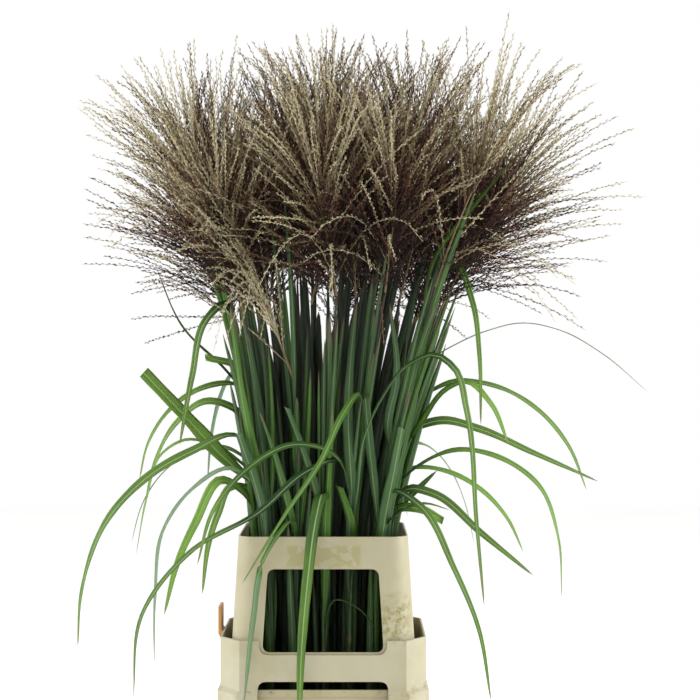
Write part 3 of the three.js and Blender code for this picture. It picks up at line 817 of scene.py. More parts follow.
class Stretches:
    """All that already stands, as straight stretches with a radius and the piece that owns them."""

    def __init__(self, room: int = 6000, clear: float = 0.6) -> None:
        """Makes room for the stretches.

        Args:
            room: how many stretches there may be.
            clear: the least clear distance between two pieces, in millimetres.
        """
        self.clear = clear
        self.count = 0
        self.owners = np.zeros(room, int)
        self.starts = np.zeros((room, 3))
        self.ends = np.zeros((room, 3))
        self.radii = np.zeros(room)

    def add(self, owner: int, path: Array, radius: float) -> None:
        """Adds the stretches of a path.

        Args:
            owner: the number of the piece that the path belongs to.
            path: the path's points, one a row.
            radius: its radius, in millimetres.
        """
        rows = slice(self.count, self.count + len(path) - 1)
        self.owners[rows] = owner
        self.starts[rows] = path[:-1]
        self.ends[rows] = path[1:]
        self.radii[rows] = radius
        self.count += len(path) - 1

    def gaps(self, start: Array, end: Array, others: Array) -> Array:
        """Smallest distance from one stretch to each of the others: the nearest points of the two
        straight lines, moved back to the stretches' ends where they lie past them.

        Args:
            start: where the stretch starts.
            end: where it ends.
            others: which of the others are measured.

        Returns:
            The distances, in millimetres.
        """
        d1 = end - start
        d2 = self.ends[others] - self.starts[others]
        r = start - self.starts[others]
        a, e = d1 @ d1, (d2 * d2).sum(axis=1)
        f, c, b = (d2 * r).sum(axis=1), r @ d1, d2 @ d1
        spare = a * e - b * b
        is_askew = spare > 1e-9
        s = np.where(is_askew, np.clip((b * f - c * e) / np.where(is_askew, spare, 1.0), 0, 1), 0.0)
        t = (b * s + f) / e
        past = (t < 0) | (t > 1)
        t = np.clip(t, 0, 1)
        s = np.where(past, np.clip((b * t - c) / a, 0, 1), s)
        return np.linalg.norm(r + s[:, None] * d1 - t[:, None] * d2, axis=1)

    def is_clear(self, owner: int, path: Array, radius: float) -> bool:
        """Whether a path keeps clear of every other owner's stretches.

        Args:
            owner: the number of the piece that the path would belong to.
            path: the path's points, one a row.
            radius: its radius, in millimetres.

        Returns:
            True where it does.
        """
        others = np.flatnonzero(self.owners[: self.count] != owner)
        least = radius + self.radii[others] + self.clear
        pairs = zip(path[:-1], path[1:])
        return all(not (self.gaps(start, end, others) < least).any() for start, end in pairs)


@dataclass
class Blade:
    """One leaf blade.

    Attributes:
        side: the level direction across it at the root.
        lie: how far its face is turned about its run at the root, in radians.
        turn: how far its face turns from there to the tip, in radians.
        fold: where it folds over and shows its lower face, from 0 to 1, or nothing.
    """

    path: Array
    width: float
    side: Array
    lie: float = 0.0
    turn: float = 0.0
    cut: bool = False
    fold: float | None = None


@dataclass
class Stem:
    """One stem of the bundle.

    Attributes:
        stand: where it stands in the bundle's unit square.
        is_outer: whether it stands at the edge of the bundle.
        narrow: how wide its panicle's fan is, as a share of the others'.
        away: the direction in which the panicle leans.
        racemes: the start, middle and tip of each packed raceme.
    """

    index: int
    stand: Array
    top: float
    draws: Draws
    is_outer: bool
    narrow: float
    blades: list[Blade] = field(default_factory=list)
    axis: Array = field(default_factory=lambda: np.zeros((0, 3)))
    away: Array = field(default_factory=lambda: np.zeros(3))
    racemes: list[Array] = field(default_factory=list)

    @property
    def is_low(self) -> bool:
        """Whether it is the stem whose panicle hangs low and narrow in front."""
        return self.narrow < 1

    @property
    def number(self) -> str:
        """Its number in the names of its pieces."""
        return f"{self.index + 1:02d}"


@dataclass(frozen=True)
class Uprights:
    """The upright blades along a culm. Millimetres and radians; a pair goes from least to most.

    Attributes:
        below: how far under the culm's top they end at least.
        facing: how far the first one is turned from the front at most.
        vary: how far the others are turned from its line at most.
        hug: the power of its run by which a blade leaves the culm.
        within: each blade's own part of its share of the root heights.
    """

    count: int = 4
    width: tuple[float, float] = (15, 23)
    length: tuple[float, float] = (260, 420)
    root: tuple[float, float] = (240, 620)
    below: float = 25
    facing: float = 0.8
    vary: float = 0.4
    hug: float = 1.4
    rings: int = 3
    room: float = 2
    within: tuple[float, float] = (0.1, 0.9)


@dataclass(frozen=True)
class Arching:
    """The arching blades at the sides and the back. Millimetres and radians; a pair goes from least to
    most.

    Attributes:
        vary: how far they are turned from straight outwards at most.
        power: the power of its run by which a blade's slope goes over.
        lie: how far the face is turned at the root.
        every: how many steps lie between two points of the blade.
        back_from: how far to the back of the unit square they start.
    """

    width: tuple[float, float] = (10, 17)
    length: tuple[float, float] = (260, 430)
    root: tuple[float, float] = (500, 700)
    rise: tuple[float, float] = (0.9, 1.2)
    fall: tuple[float, float] = (1.1, 1.5)
    vary: float = 0.5
    power: float = 0.6
    lie: float = 0.6
    turn: float = 0.3
    steps: int = 20
    every: int = 4
    back_from: float = -0.2


@dataclass(frozen=True)
class Fan:
    """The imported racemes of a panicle. Millimetres and radians; a pair goes from least to most.

    Attributes:
        sag: how far the tips hang down, as a share of the length.
        reach: from where to where on the axis they start, as shares of it.
        turn: how far each is turned round the axis from the one below.
        vary: how far that may be out.
        spread: how far they lean out at the axis's foot and at its top, as a slope.
        spread_vary: the share of that which each one takes.
    """

    count: int = 10
    length: tuple[float, float] = (175, 255)
    radius: float = 1.3
    sag: tuple[float, float] = (0.02, 0.16)
    reach: tuple[float, float] = (0.12, 0.98)
    turn: float = 2.4
    vary: float = 0.5
    spread: tuple[float, float] = (1.5, 0.5)
    spread_vary: tuple[float, float] = (0.55, 1.05)


@dataclass(frozen=True)
class FrontBlade:
    """A long blade that shows in front or at the side. Millimetres and degrees, otherwise as in Blade."""

    stem: int
    root: float
    width: float
    lie: float
    turn: float
    cut: bool
    points: tuple[tuple[float, float, float], ...]
    fold: float | None = None


FRONT_BLADES = (
    FrontBlade(2, 455, 23, 0, 0, False, (
        (0, -104, 520), (-1, -122, 541), (-10, -146, 505), (-20, -156, 430), (-29, -160, 330),
        (-33, -158, 205))),
    FrontBlade(3, 560, 14, -45, 20, False, (
        (20, -128, 590), (-24, -150, 574), (-89, -172, 519), (-180, -188, 468), (-249, -190, 380),
        (-262, -186, 262))),
    FrontBlade(3, 500, 13, -40, -15, False, (
        (40, -108, 545), (15, -134, 598), (-43, -160, 613), (-105, -182, 580), (-150, -194, 525),
        (-172, -200, 450))),
    FrontBlade(3, 640, 12, -40, 25, False, (
        (51, -140, 684), (28, -172, 655), (0, -192, 595), (-50, -208, 520), (-110, -216, 425))),
    FrontBlade(1, 455, 15, 0, 0, False, (
        (-45, -112, 502), (-64, -134, 482), (-86, -144, 443), (-98, -148, 370),
        (-112, -150, 240)), 0.42),
    FrontBlade(5, 545, 28, -65, 0, True, (
        (-142, -66, 587), (-200, -80, 650), (-259, -92, 714))),
    FrontBlade(5, 740, 15, -50, -10, False, (
        (-146, -76, 812), (-168, -86, 790), (-188, -92, 710), (-206, -96, 610))),
    FrontBlade(5, 490, 17, -60, 0, False, (
        (-118, -62, 540), (-147, -80, 558), (-184, -90, 497), (-207, -96, 447), (-228, -100, 366))),
    FrontBlade(0, 600, 17, -50, 20, False, (
        (-130, -118, 625), (-180, -132, 605), (-240, -146, 572), (-300, -158, 510), (-336, -165, 410),
        (-342, -165, 330))),
    FrontBlade(0, 540, 14, 50, -20, False, (
        (-134, -112, 577), (-185, -124, 548), (-225, -134, 491), (-236, -138, 400), (-238, -138, 300))),
    FrontBlade(11, 690, 15, -65, 0, True, (
        (-130, 4, 722), (-178, 4, 735))),
    FrontBlade(11, 540, 9, -40, 0, False, (
        (-120, 0, 575), (-160, 2, 602), (-206, 4, 612), (-243, 6, 590), (-264, 8, 528),
        (-281, 10, 440))),
    FrontBlade(11, 500, 15, -60, 0, False, (
        (-112, -8, 540), (-138, -12, 543), (-156, -14, 505), (-168, -16, 470), (-180, -18, 385))),
    FrontBlade(16, 670, 8, -30, 0, False, (
        (-150, 50, 715), (-215, 52, 780), (-259, 50, 880))),
    FrontBlade(16, 600, 15, -55, 15, False, (
        (-135, 52, 655), (-180, 54, 668), (-225, 56, 635), (-258, 58, 575), (-275, 60, 500))),
    FrontBlade(4, 505, 12, 45, 10, False, (
        (100, -112, 545), (138, -135, 525), (184, -150, 440), (219, -156, 354), (236, -158, 255))),
    FrontBlade(4, 480, 9, 30, 0, False, (
        (106, -112, 512), (142, -124, 528), (181, -130, 519))),
    FrontBlade(10, 470, 17, 60, 0, True, (
        (110, -52, 515), (142, -60, 514), (174, -66, 497))),
    FrontBlade(10, 500, 15, 55, 10, False, (
        (124, -72, 545), (160, -82, 538), (226, -98, 484), (300, -110, 424))),
    FrontBlade(10, 545, 13, 45, -20, False, (
        (140, -56, 578), (190, -66, 600), (255, -80, 590), (312, -92, 548), (336, -98, 480),
        (342, -100, 390))),
    FrontBlade(10, 600, 15, 50, 0, False, (
        (142, -62, 640), (180, -76, 690), (206, -84, 700), (240, -92, 670), (266, -98, 610))),
    FrontBlade(10, 780, 11, 40, 20, False, (
        (172, -92, 846), (190, -110, 866), (212, -122, 816), (222, -126, 740), (224, -128, 640))),
    FrontBlade(15, 485, 15, 70, 0, False, (
        (122, -6, 524), (168, -12, 568))),
    FrontBlade(15, 700, 8, 0, 10, False, (
        (183, -8, 748), (240, -12, 774), (293, -14, 786), (347, -16, 776), (415, -18, 738),
        (478, -20, 684))),
    FrontBlade(15, 590, 16, 60, 0, False, (
        (135, 20, 628), (176, 24, 640), (230, 27, 628), (312, 30, 592), (412, 34, 548))),
    FrontBlade(3, 500, 14, 25, 25, False, (
        (50, -135, 554), (57, -152, 618), (83, -156, 677), (122, -164, 726), (157, -168, 739),
        (184, -172, 720), (200, -175, 664), (214, -178, 507), (225, -178, 390))),
    FrontBlade(4, 770, 16, 50, 0, False, (
        (156, -156, 869), (215, -186, 950), (272, -206, 1019))),
    FrontBlade(4, 590, 15, 0, 0, False, (
        (92, -122, 640), (104, -138, 705), (94, -154, 812))),
    FrontBlade(4, 440, 23, 0, 0, True, (
        (88, -110, 505), (100, -122, 570), (112, -130, 636))),
    FrontBlade(3, 460, 19, 0, 0, True, (
        (38, -102, 500), (22, -114, 552))),
    FrontBlade(1, 470, 22, 0, 0, False, (
        (-50, -108, 520), (-66, -122, 585), (-90, -134, 660))),
    FrontBlade(2, 480, 21, 0, 0, True, (
        (-10, -112, 540), (-30, -126, 605), (-52, -138, 665))),
    FrontBlade(3, 500, 20, 0, 0, False, (
        (40, -116, 560), (36, -126, 640), (40, -136, 740), (48, -146, 815))),
    FrontBlade(4, 480, 17, 0, 0, True, (
        (74, -112, 540), (66, -126, 610), (60, -134, 680))),
    FrontBlade(0, 470, 24, 0, 0, True, (
        (-90, -110, 530), (-104, -120, 580), (-120, -130, 628))),
    FrontBlade(0, 520, 22, 0, 0, False, (
        (-100, -118, 600), (-116, -134, 690), (-130, -148, 810))),
    FrontBlade(2, 350, 12, 0, 0, False, (
        (18, -97, 388), (50, -103, 376), (80, -105, 340))),
)


@dataclass
class Bundle:
    """The rule that places every stem, blade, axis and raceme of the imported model. Sizes in millimetres.

    Attributes:
        row_reach: how far the rows reach to the front and the back of a unit square.
        odd_reach: how far the first, third and fifth row reach to the sides.
        cell: a stem's own share of the half width.
        outer: how far out a stem stands that is at the edge.
        low_narrow: how wide the low panicle's fan is, as a share of the others'.
        axis_upright: how much of its lean a panicle's axis has at its foot.
        tries: how often a blade or a raceme is drawn until it keeps clear.
        plume_z: height from which a front blade counts as pushing through the plume.
        through: the blades that push through the plume.
    """

    rows: tuple[int, ...] = (5, 6, 5, 6, 5)
    row_reach: float = 0.9
    odd_reach: float = 0.8
    even_reach: float = 0.95
    jitter: float = 0.035
    foot_half: float = 80
    rim_half: float = 98
    rim_z: float = RIM_Z
    slope: float = 0.1
    bend: float = 2.85e-4
    lean: float = 0.055
    cell: float = 0.3
    outer: float = 0.7
    culm_radius: float = 3.0
    culm_top_z: float = 856
    culm_drop: float = 48
    culm_vary: float = 44
    culm_rings: int = 4
    foot_z: float = BUCKET_FLOOR + GAP
    low_stem: int = 1
    low_top: float = 705
    low_away: tuple[float, float, float] = (-0.6, -0.34, 1)
    low_narrow: float = 0.42
    axis_length: tuple[float, float] = (140, 195)
    axis_radius: float = 2.2
    axis_upright: float = 0.6
    axis_rings: int = 4
    lobe_x: float = 60
    focus_z: float = 690
    tries: int = 12
    plume_z: float = 950
    uprights: Uprights = Uprights()
    arching: Arching = Arching()
    fan: Fan = Fan()
    through: list[Blade] = field(default_factory=list)
    stems: list[Stem] = field(default_factory=list)
    placed: Stretches = field(default_factory=Stretches)

    def grow(self) -> None:
        """Places everything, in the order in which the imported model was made."""
        self.stems = [self.make_stem(index, stand) for index, stand in enumerate(self.stands())]
        for stem in self.stems:
            self.add_axis(stem)
        for stem in self.stems:
            self.add_uprights(stem)
        for row in FRONT_BLADES:
            self.add_front_blade(row)
        for stem in self.stems:
            self.add_arching(stem)
        for stem in self.stems:
            self.add_racemes(stem)

    def stands(self) -> list[Array]:
        """Stands of the stems in a unit square: five staggered rows with a small random shift.

        Returns:
            Each stem's place as x, y.
        """
        stands: list[Array] = []
        for row, count in enumerate(self.rows):
            reach = self.odd_reach if row % 2 == 0 else self.even_reach
            for k in range(count):
                draws = Draws(len(stands) + 1)
                x = reach * (2 * k / (count - 1) - 1) + draws.between(-self.jitter, self.jitter)
                y = self.row_reach * (2 * row / (len(self.rows) - 1) - 1)
                stands.append(np.array([x, y + draws.between(-self.jitter, self.jitter)]))
        return stands

    def spread(self, z: Array) -> Array:
        """Half width of the bundle: straight in the holder, then h/10 plus a share of h² above it.

        Args:
            z: the height, or several.

        Returns:
            The half width at each.
        """
        h = np.maximum(np.asarray(z, float) - self.rim_z, 0.0)
        low = self.foot_half + (self.rim_half - self.foot_half) * np.minimum(z, self.rim_z) / self.rim_z
        return low + self.slope * h + self.bend * h * h

    def middle_x(self, z: Array) -> Array:
        """How far to the right the bundle's middle has leaned at a height."""
        return self.lean * np.maximum(np.asarray(z, float) - self.rim_z, 0.0)

    def point(self, stand: Array, z: Array) -> Array:
        """Middle of a stem at a height.

        Args:
            stand: where the stem stands in the unit square.
            z: the height, or several.

        Returns:
            The place, or one a row.
        """
        half = self.spread(z)
        places = (stand[0] * half + self.middle_x(z), stand[1] * half, z)
        return np.stack(np.broadcast_arrays(*places), axis=-1)

    def openness(self, points: Array) -> Array:
        """How open to the light a place among the stems is: 0 in the bundle's middle and 1 at its edge,
        by the place's distance from the middle as a share of the half width there, less in the holder,
        and 1 before the rim.

        Args:
            points: places as [..., xyz].

        Returns:
            The shares as [...].
        """
        x, y, z = np.moveaxis(points, -1, 0)
        out = np.maximum(np.abs(x - self.middle_x(z)), np.abs(y)) / self.spread(z)
        held = 1 - 0.42 * smoothstep(self.rim_z + 40, self.rim_z - 30, z) * (out < 1.03)
        before = smoothstep(-135, -165, y) * (z > self.rim_z)
        return np.maximum(smoothstep(0.5, 1.2, out) * held, before)

    def beside(self, points: Array) -> Array:
        """How far a place stands out to the left or the right of the stems, where light comes through
        the leaves from behind: 0 at the bundle's edge and 1 at half its width farther out. A leaf that
        hangs before the holder gets half of it.

        Args:
            points: places as [..., xyz].

        Returns:
            The shares as [...].
        """
        x, y, z = np.moveaxis(points, -1, 0)
        # painted backlight: a leaf that hangs before the holder gets half of it
        hanging_lit = smoothstep(-138, -152, y) * smoothstep(self.rim_z + 20, self.rim_z - 40, z)
        out = np.abs(x - self.middle_x(z)) / self.spread(z)
        return np.maximum(smoothstep(1.0, 1.5, out), hanging_lit / 2)

    def make_stem(self, index: int, stand: Array) -> Stem:
        """Stands a stem and its culm.

        Args:
            index: the stem's number.
            stand: where it stands in the unit square.

        Returns:
            The stem, without leaves or panicle.
        """
        draws = Draws(100 + index)
        reach = min(1.0, math.hypot(*stand))
        drawn = self.culm_top_z - self.culm_drop * reach * reach
        drawn += draws.between(-self.culm_vary, self.culm_vary)
        is_low = index == self.low_stem
        top, narrow = (self.low_top, self.low_narrow) if is_low else (drawn, 1.0)
        heights = self.foot_z + (top - self.foot_z) * np.arange(self.culm_rings) / (self.culm_rings - 1)
        self.placed.add(index, self.point(stand, heights), self.culm_radius)
        return Stem(index, stand, top, draws, max(abs(stand[0]), abs(stand[1])) > self.outer, narrow)

    def add_axis(self, stem: Stem) -> None:
        """Leans the panicle's axis away from the middle of its lobe.

        Args:
            stem: the stem that carries it.
        """
        start = self.point(stem.stand, stem.top)
        lobe = np.array([math.copysign(self.lobe_x, stem.stand[0]), 0, self.focus_z])
        stem.away = unit(np.array(self.low_away, float) if stem.is_low else start - lobe)
        step = stem.draws.between(*self.axis_length) / (self.axis_rings - 1)
        upright = np.array([stem.away[0] * self.axis_upright, stem.away[1] * self.axis_upright, 1.0])
        shares = np.arange(1, self.axis_rings)[:, None] / (self.axis_rings - 1)
        steps = np.cumsum(unit(upright + stem.away * shares) * step, axis=0)
        first = start + GAP * UP
        stem.axis = np.vstack([first, first + steps])
        self.placed.add(stem.index + len(self.stems), stem.axis, self.axis_radius)

    def add_uprights(self, stem: Stem) -> None:
        """Grows the upright blades, kept inside the stem's own share of the bundle.

        Args:
            stem: the stem that carries them.
        """
        rule, draws = self.uprights, stem.draws
        lowest, highest = rule.root
        turn = math.pi / 2 + draws.between(-rule.facing, rule.facing)
        for k in range(rule.count):
            share = (k + draws.between(*rule.within)) / rule.count
            root = lowest + (highest - lowest) * share
            azimuth = turn + k * math.pi + draws.between(-rule.vary, rule.vary)
            length = min(draws.between(*rule.length), stem.top - rule.below - root)
            width = draws.between(*rule.width)
            s = np.arange(rule.rings + 1) / rule.rings
            z = root + s * length
            room = np.maximum(self.cell * self.spread(z) * 0.5 - width * 0.5, rule.room)
            away = np.where(s == 0, 0.0, self.culm_radius + s**rule.hug * room)
            path = self.point(stem.stand, z) + away[:, None] * heading(azimuth)
            self.placed.add(stem.index, path, width / 2)
            stem.blades.append(Blade(path, width, crossways(azimuth)))

    def add_front_blade(self, row: FrontBlade) -> None:
        """Grows one of the long blades named above.

        Args:
            row: the blade.
        """
        stem = self.stems[row.stem]
        path = np.vstack([self.point(stem.stand, row.root), np.array(row.points, float)])
        run = (path[-1] - path[0])[:2]
        x, y = run / math.hypot(*run)
        self.placed.add(stem.index, path, row.width / 2)
        side = np.array([-y, x, 0.0])
        lie, turn = math.radians(row.lie), math.radians(row.turn)
        stem.blades.append(Blade(path, row.width, side, lie, turn, row.cut, row.fold))
        if path[-1][2] > self.plume_z:
            self.through.append(stem.blades[-1])

    def add_arching(self, stem: Stem) -> None:
        """Grows the arching blade of a stem at the sides or the back, where it keeps clear.

        Args:
            stem: the stem that carries it.
        """
        x, y = stem.stand
        rule, draws = self.arching, stem.draws
        if not stem.is_outer or y < rule.back_from:
            return
        width = draws.between(*rule.width)
        for _ in range(self.tries):
            azimuth = math.atan2(y, x) + draws.between(-rule.vary, rule.vary)
            start = self.point(stem.stand, draws.between(*rule.root))
            length, rise, fall = (draws.between(*pair) for pair in (rule.length, rule.rise, rule.fall))
            path = self.arch_path(start, azimuth, length, rise, fall)
            if self.placed.is_clear(stem.index, path, width / 2):
                self.placed.add(stem.index, path, width / 2)
                lie = math.copysign(rule.lie, x)
                stem.blades.append(Blade(path, width, crossways(azimuth), lie, rule.turn))
                return

    def arch_path(self, start: Array, azimuth: float, length: float, rise: float, fall: float) -> Array:
        """Path in one upright plane whose slope goes from rise down to -fall as a power of the length run.

        Args:
            start: its first point.
            azimuth: the direction of the plane.
            length: the path's length.
            rise: the slope at the start, in radians.
            fall: the slope down at the end, in radians.

        Returns:
            Its points, with several steps between each two.
        """
        steps, every = self.arching.steps, self.arching.every
        slope = rise - (rise + fall) * ((np.arange(steps) + 0.5) / steps) ** self.arching.power
        level, up = np.cos(slope) * length / steps, np.sin(slope) * length / steps
        moves = np.stack([math.cos(azimuth) * level, math.sin(azimuth) * level, up], axis=1)
        return np.vstack([start, start + np.cumsum(moves, axis=0)[every - 1 :: every]])

    def add_racemes(self, stem: Stem) -> None:
        """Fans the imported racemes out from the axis, each where it keeps clear.

        Args:
            stem: the stem that carries them.
        """
        rule, draws, owner = self.fan, stem.draws, stem.index + len(self.stems)
        side, front = square_to(stem.away)
        foot, top = rule.reach
        wide, tight = rule.spread
        for k in range(rule.count):
            share = k / (rule.count - 1)
            at = (foot + (top - foot) * share) * (self.axis_rings - 1)
            low = min(math.floor(at), self.axis_rings - 2)
            start = stem.axis[low] + (stem.axis[low + 1] - stem.axis[low]) * (at - low)
            for _ in range(self.tries):
                angle = k * rule.turn + draws.between(-rule.vary, rule.vary)
                spread = (wide + (tight - wide) * share) * stem.narrow * draws.between(*rule.spread_vary)
                lean = stem.away + side * spread * math.cos(angle) + front * spread * math.sin(angle)
                length, sag = draws.between(*rule.length), draws.between(*rule.sag)
                along = unit(lean)
                tip = start + along * length - length * sag * UP
                path = np.stack([start, start + along * length * 0.5, tip])
                if self.placed.is_clear(owner, path, rule.radius):
                    self.placed.add(owner, path, rule.radius)
                    stem.racemes.append(path)
                    break


# ---------------------------------------------------------------- holder


@dataclass(frozen=True)
class Window:
    """A window or notch with round corners, wider at its foot. Sizes in millimetres.

    Attributes:
        pull: how far a slanted side is drawn in at a corner.
    """

    bottom: float
    top: float
    top_half: float
    foot_half: float
    radius: float
    reach: float = 200.0
    pull: float = 0.5
    steps: int = 9

    def cutter(self) -> Skin:
        """The upright plate that cuts it through front and back: its outline runs anticlockwise as seen
        from the front, each corner by the curve with weights (1 - s)², 2s(1 - s) and s², and is carried
        along Y.

        Returns:
            The closed skin.
        """
        f, t, r, p = self.foot_half, self.top_half, self.radius, self.pull
        corners = np.array([
            [(f - r, self.bottom), (f, self.bottom), (f - p, self.bottom + r)],
            [(t + p, self.top - r), (t, self.top), (t - r, self.top)],
            [(-t + r, self.top), (-t, self.top), (-t - p, self.top - r)],
            [(-f + p, self.bottom + r), (-f, self.bottom), (-f + r, self.bottom)],
        ])
        s = np.linspace(0, 1, self.steps)[:, None]
        weights = [(1 - s) ** 2, 2 * s * (1 - s), s**2]
        outline = sum(w * corners[:, None, k] for k, w in enumerate(weights)).reshape(-1, 2)
        return prism(outline, self.reach)


def prism(outline: Array, reach: float) -> Skin:
    """Outline in X and Z, anticlockwise as seen from the front, carried along Y.

    Args:
        outline: its points as x, z rows.
        reach: how far it goes to the front and to the back.

    Returns:
        The closed skin.
    """
    rings = np.stack([
        np.stack([outline[:, 0], np.full(len(outline), y), outline[:, 1]], axis=1)
        for y in (reach, -reach)
    ])
    return carried(rings[None], Ends.FLAT)


def square_outline(
    half: tuple[float, float], corner: tuple[float, float], steps: int, rounded: bool
) -> Array:
    """Square outline run anticlockwise from above, its corners rounded by quarter circles or cut straight.

    Args:
        half: its half widths along X and Y.
        corner: how much of each side a corner takes.
        steps: how many stretches a corner has.
        rounded: whether the corners are round.

    Returns:
        The outline's points as x, y rows.
    """
    signs = np.array([[1, -1], [1, 1], [-1, 1], [-1, -1]])[:, None, :]
    along = np.linspace(0, 1, steps + 1)
    turn = np.stack([along if k % 2 == 0 else 1 - along for k in range(4)])
    angle = turn * np.pi / 2
    inward = np.stack(
        [1 - np.sin(angle), 1 - np.cos(angle)] if rounded else [1 - turn, turn], axis=-1
    )
    return (signs * (np.array(half) - np.array(corner) * inward)).reshape(-1, 2)


def outline_rings(levels: Iterable[tuple[float, Array]]) -> Array:
    """Rings from outlines, each laid level at its height."""
    return np.stack([np.column_stack([outline, np.full(len(outline), z)]) for z, outline in levels])[None]


@dataclass
class Holder:
    """The square bucket and its two collars. Sizes in millimetres, half widths along X and Y.

    Attributes:
        sharp: the angle from which an edge is rounded, in degrees.
        flare: how far the lower collar stands out below its ledge.
        facet: how much of each side a corner facet takes.
        shoulder: heights of the shoulder's lower and upper face.
        tongue_out: how far the tongues stand off the wall.
        inset: how far they are sunk into it.
        meniscus: for each step of the water's edge, how far down and how far in it lies.
    """

    wall: float = 3
    rim_z: float = RIM_Z
    bevel: float = 0.9
    sharp: float = 32
    corner_steps: int = 8
    upper_bottom: float = 285
    upper_top_half: tuple[float, float] = (121.5, 117)
    upper_foot_half: tuple[float, float] = (134, 129)
    upper_top_radius: float = 26
    upper_foot_radius: float = 40
    upper_window: Window = Window(317, 434, 79, 86, 11)
    lower_bottom: float = 139
    lower_top: float = 334
    lower_half: tuple[float, float] = (148, 132.4)
    flare: float = 4
    flare_z: float = 258
    step: float = 5
    facet: tuple[float, float] = (29.5, 42)
    notch: Window = Window(314, 374, 91, 91, 14)
    lower_window: Window = Window(160, 276, 92, 96, 12)
    base_half: float = 99
    shoulder_half: float = 117
    bucket_rim_half: float = 123
    bucket_rim_z: float = 263
    bucket_radius: float = 28
    floor: float = BUCKET_FLOOR
    shoulder: tuple[float, float] = (126, 138.6)
    lip_height: float = 10
    lip_out: float = 2
    tongue_width: float = 46
    tongue_thick: float = 5
    tongue_rise: float = 34
    tongue_out: float = 9
    tongue_root: float = 26
    inset: float = 1
    water_middle: float = 60
    water_top: float = 118
    meniscus: tuple[tuple[float, float], ...] = ((0.8, 1.2), (1.4, 4))

    def lower_outline(self, grow: float, steps: int = 1) -> Array:
        """Plan of the lower collar: flat sides with a slanted facet across each corner."""
        half = (self.lower_half[0] + grow, self.lower_half[1] + grow)
        return square_outline(half, self.facet, steps, False)

    def bucket_half(self, z: float) -> float:
        """Half width of the bucket's outer wall.

        Args:
            z: the height.

        Returns:
            The half width there.
        """
        top = self.bucket_rim_half - self.lip_out
        heights = (0.0, self.shoulder[0], self.bucket_rim_z)
        return float(np.interp(z, heights, (self.base_half, self.shoulder_half, top)))

    def bucket_outline(self, z: float, grow: float = 0.0) -> Array:
        """Plan of the bucket at a height, grown outwards."""
        half, radius = self.bucket_half(z) + grow, self.bucket_radius + max(grow, 0.0)
        return square_outline((half, half), (radius, radius), self.corner_steps, True)

    def tongue(self, wall_x: float, edge_z: float) -> Skin:
        """Upright tongue on the left of a tier, standing off the wall above its edge.

        Args:
            wall_x: where the wall's face is.
            edge_z: height of the tier's edge.

        Returns:
            The closed skin.
        """
        inner, face = wall_x + self.inset, wall_x - self.tongue_out + self.inset
        foot = edge_z - self.tongue_thick
        outline = np.array([
            (inner, edge_z - self.tongue_root),
            (inner, foot),
            (face + self.tongue_thick, edge_z - self.inset),
            (face + self.tongue_thick, edge_z + self.tongue_rise),
            (face, edge_z + self.tongue_rise),
            (face, foot - self.inset),
        ])
        return prism(outline, self.tongue_width / 2)

    def carve(self, name: str, body: Skin, cuts: Sequence[Skin], adds: Sequence[Skin]) -> bpy.types.Object:
        """Cuts skins out of a body and joins others to it, then rounds the sharp edges.

        Args:
            name: the piece's name.
            body: the skin that is worked on.
            cuts: what is cut away.
            adds: what is joined on.

        Returns:
            The finished piece, with its bevel live.
        """
        piece = make_piece(name, [body])
        tools = []
        for operation, skins in (("DIFFERENCE", cuts), ("UNION", adds)):
            for skin in skins:
                tool = make_piece(f"{name}_tool", [skin])
                step = piece.modifiers.new(operation.lower(), "BOOLEAN")
                step.operation, step.object, step.solver = operation, tool, "EXACT"
                tools.append(tool)
        ready = piece.evaluated_get(bpy.context.evaluated_depsgraph_get())
        carved = bpy.data.meshes.new_from_object(ready)
        piece.modifiers.clear()
        piece.data = carved
        for tool in tools:
            bpy.data.objects.remove(tool)
        edge = piece.modifiers.new("moulded_edge", "BEVEL")
        edge.width, edge.segments = self.bevel * MM, 2
        edge.limit_method, edge.angle_limit = "ANGLE", math.radians(self.sharp)
        edge.harden_normals = True
        carved.polygons.foreach_set("use_smooth", np.ones(len(carved.polygons), bool))
        return piece

    def build_upper(self) -> None:
        """The upper collar: outer wall from foot to rim, then the inner wall back down."""
        levels = []
        for inset, order in ((0, 1), (self.wall, -1)):
            ends = [
                (self.upper_bottom, self.upper_foot_half, self.upper_foot_radius),
                (self.rim_z, self.upper_top_half, self.upper_top_radius),
            ]
            for z, half, radius in ends[::order]:
                sizes, corner = (half[0] - inset, half[1] - inset), (radius - inset, radius - inset)
                levels.append((z, square_outline(sizes, corner, self.corner_steps + 1, True)))
        body = carried(outline_rings(levels), Ends.JOINED)
        piece = self.carve("upper_collar_moulded", body, [self.upper_window.cutter()], [])
        piece.data.materials.append(AgedPolypropylene("aged_polypropylene_upper").material())
        seat(piece, ["upper_collar"])

    def build_lower(self) -> None:
        """The lower collar: a faceted wall with a flare at its foot, and the tongue on its left."""
        heights = [
            (self.lower_bottom, self.flare),
            (self.flare_z, self.flare),
            (self.flare_z + self.step, 0.0),
            (self.lower_top, 0.0),
        ]
        levels = [(z, self.lower_outline(grow)) for z, grow in heights]
        levels += [(z, self.lower_outline(grow - self.wall)) for z, grow in heights[::-1]]
        body = carried(outline_rings(levels), Ends.JOINED)
        cuts = [self.notch.cutter(), self.lower_window.cutter()]
        adds = [self.tongue(-self.lower_half[0], self.lower_top)]
        piece = self.carve("lower_collar_moulded", body, cuts, adds)
        finish = AgedPolypropylene("aged_polypropylene_lower", base="#9f9a82", is_glued=False)
        piece.data.materials.append(finish.material())
        seat(piece, ["lower_collar"])

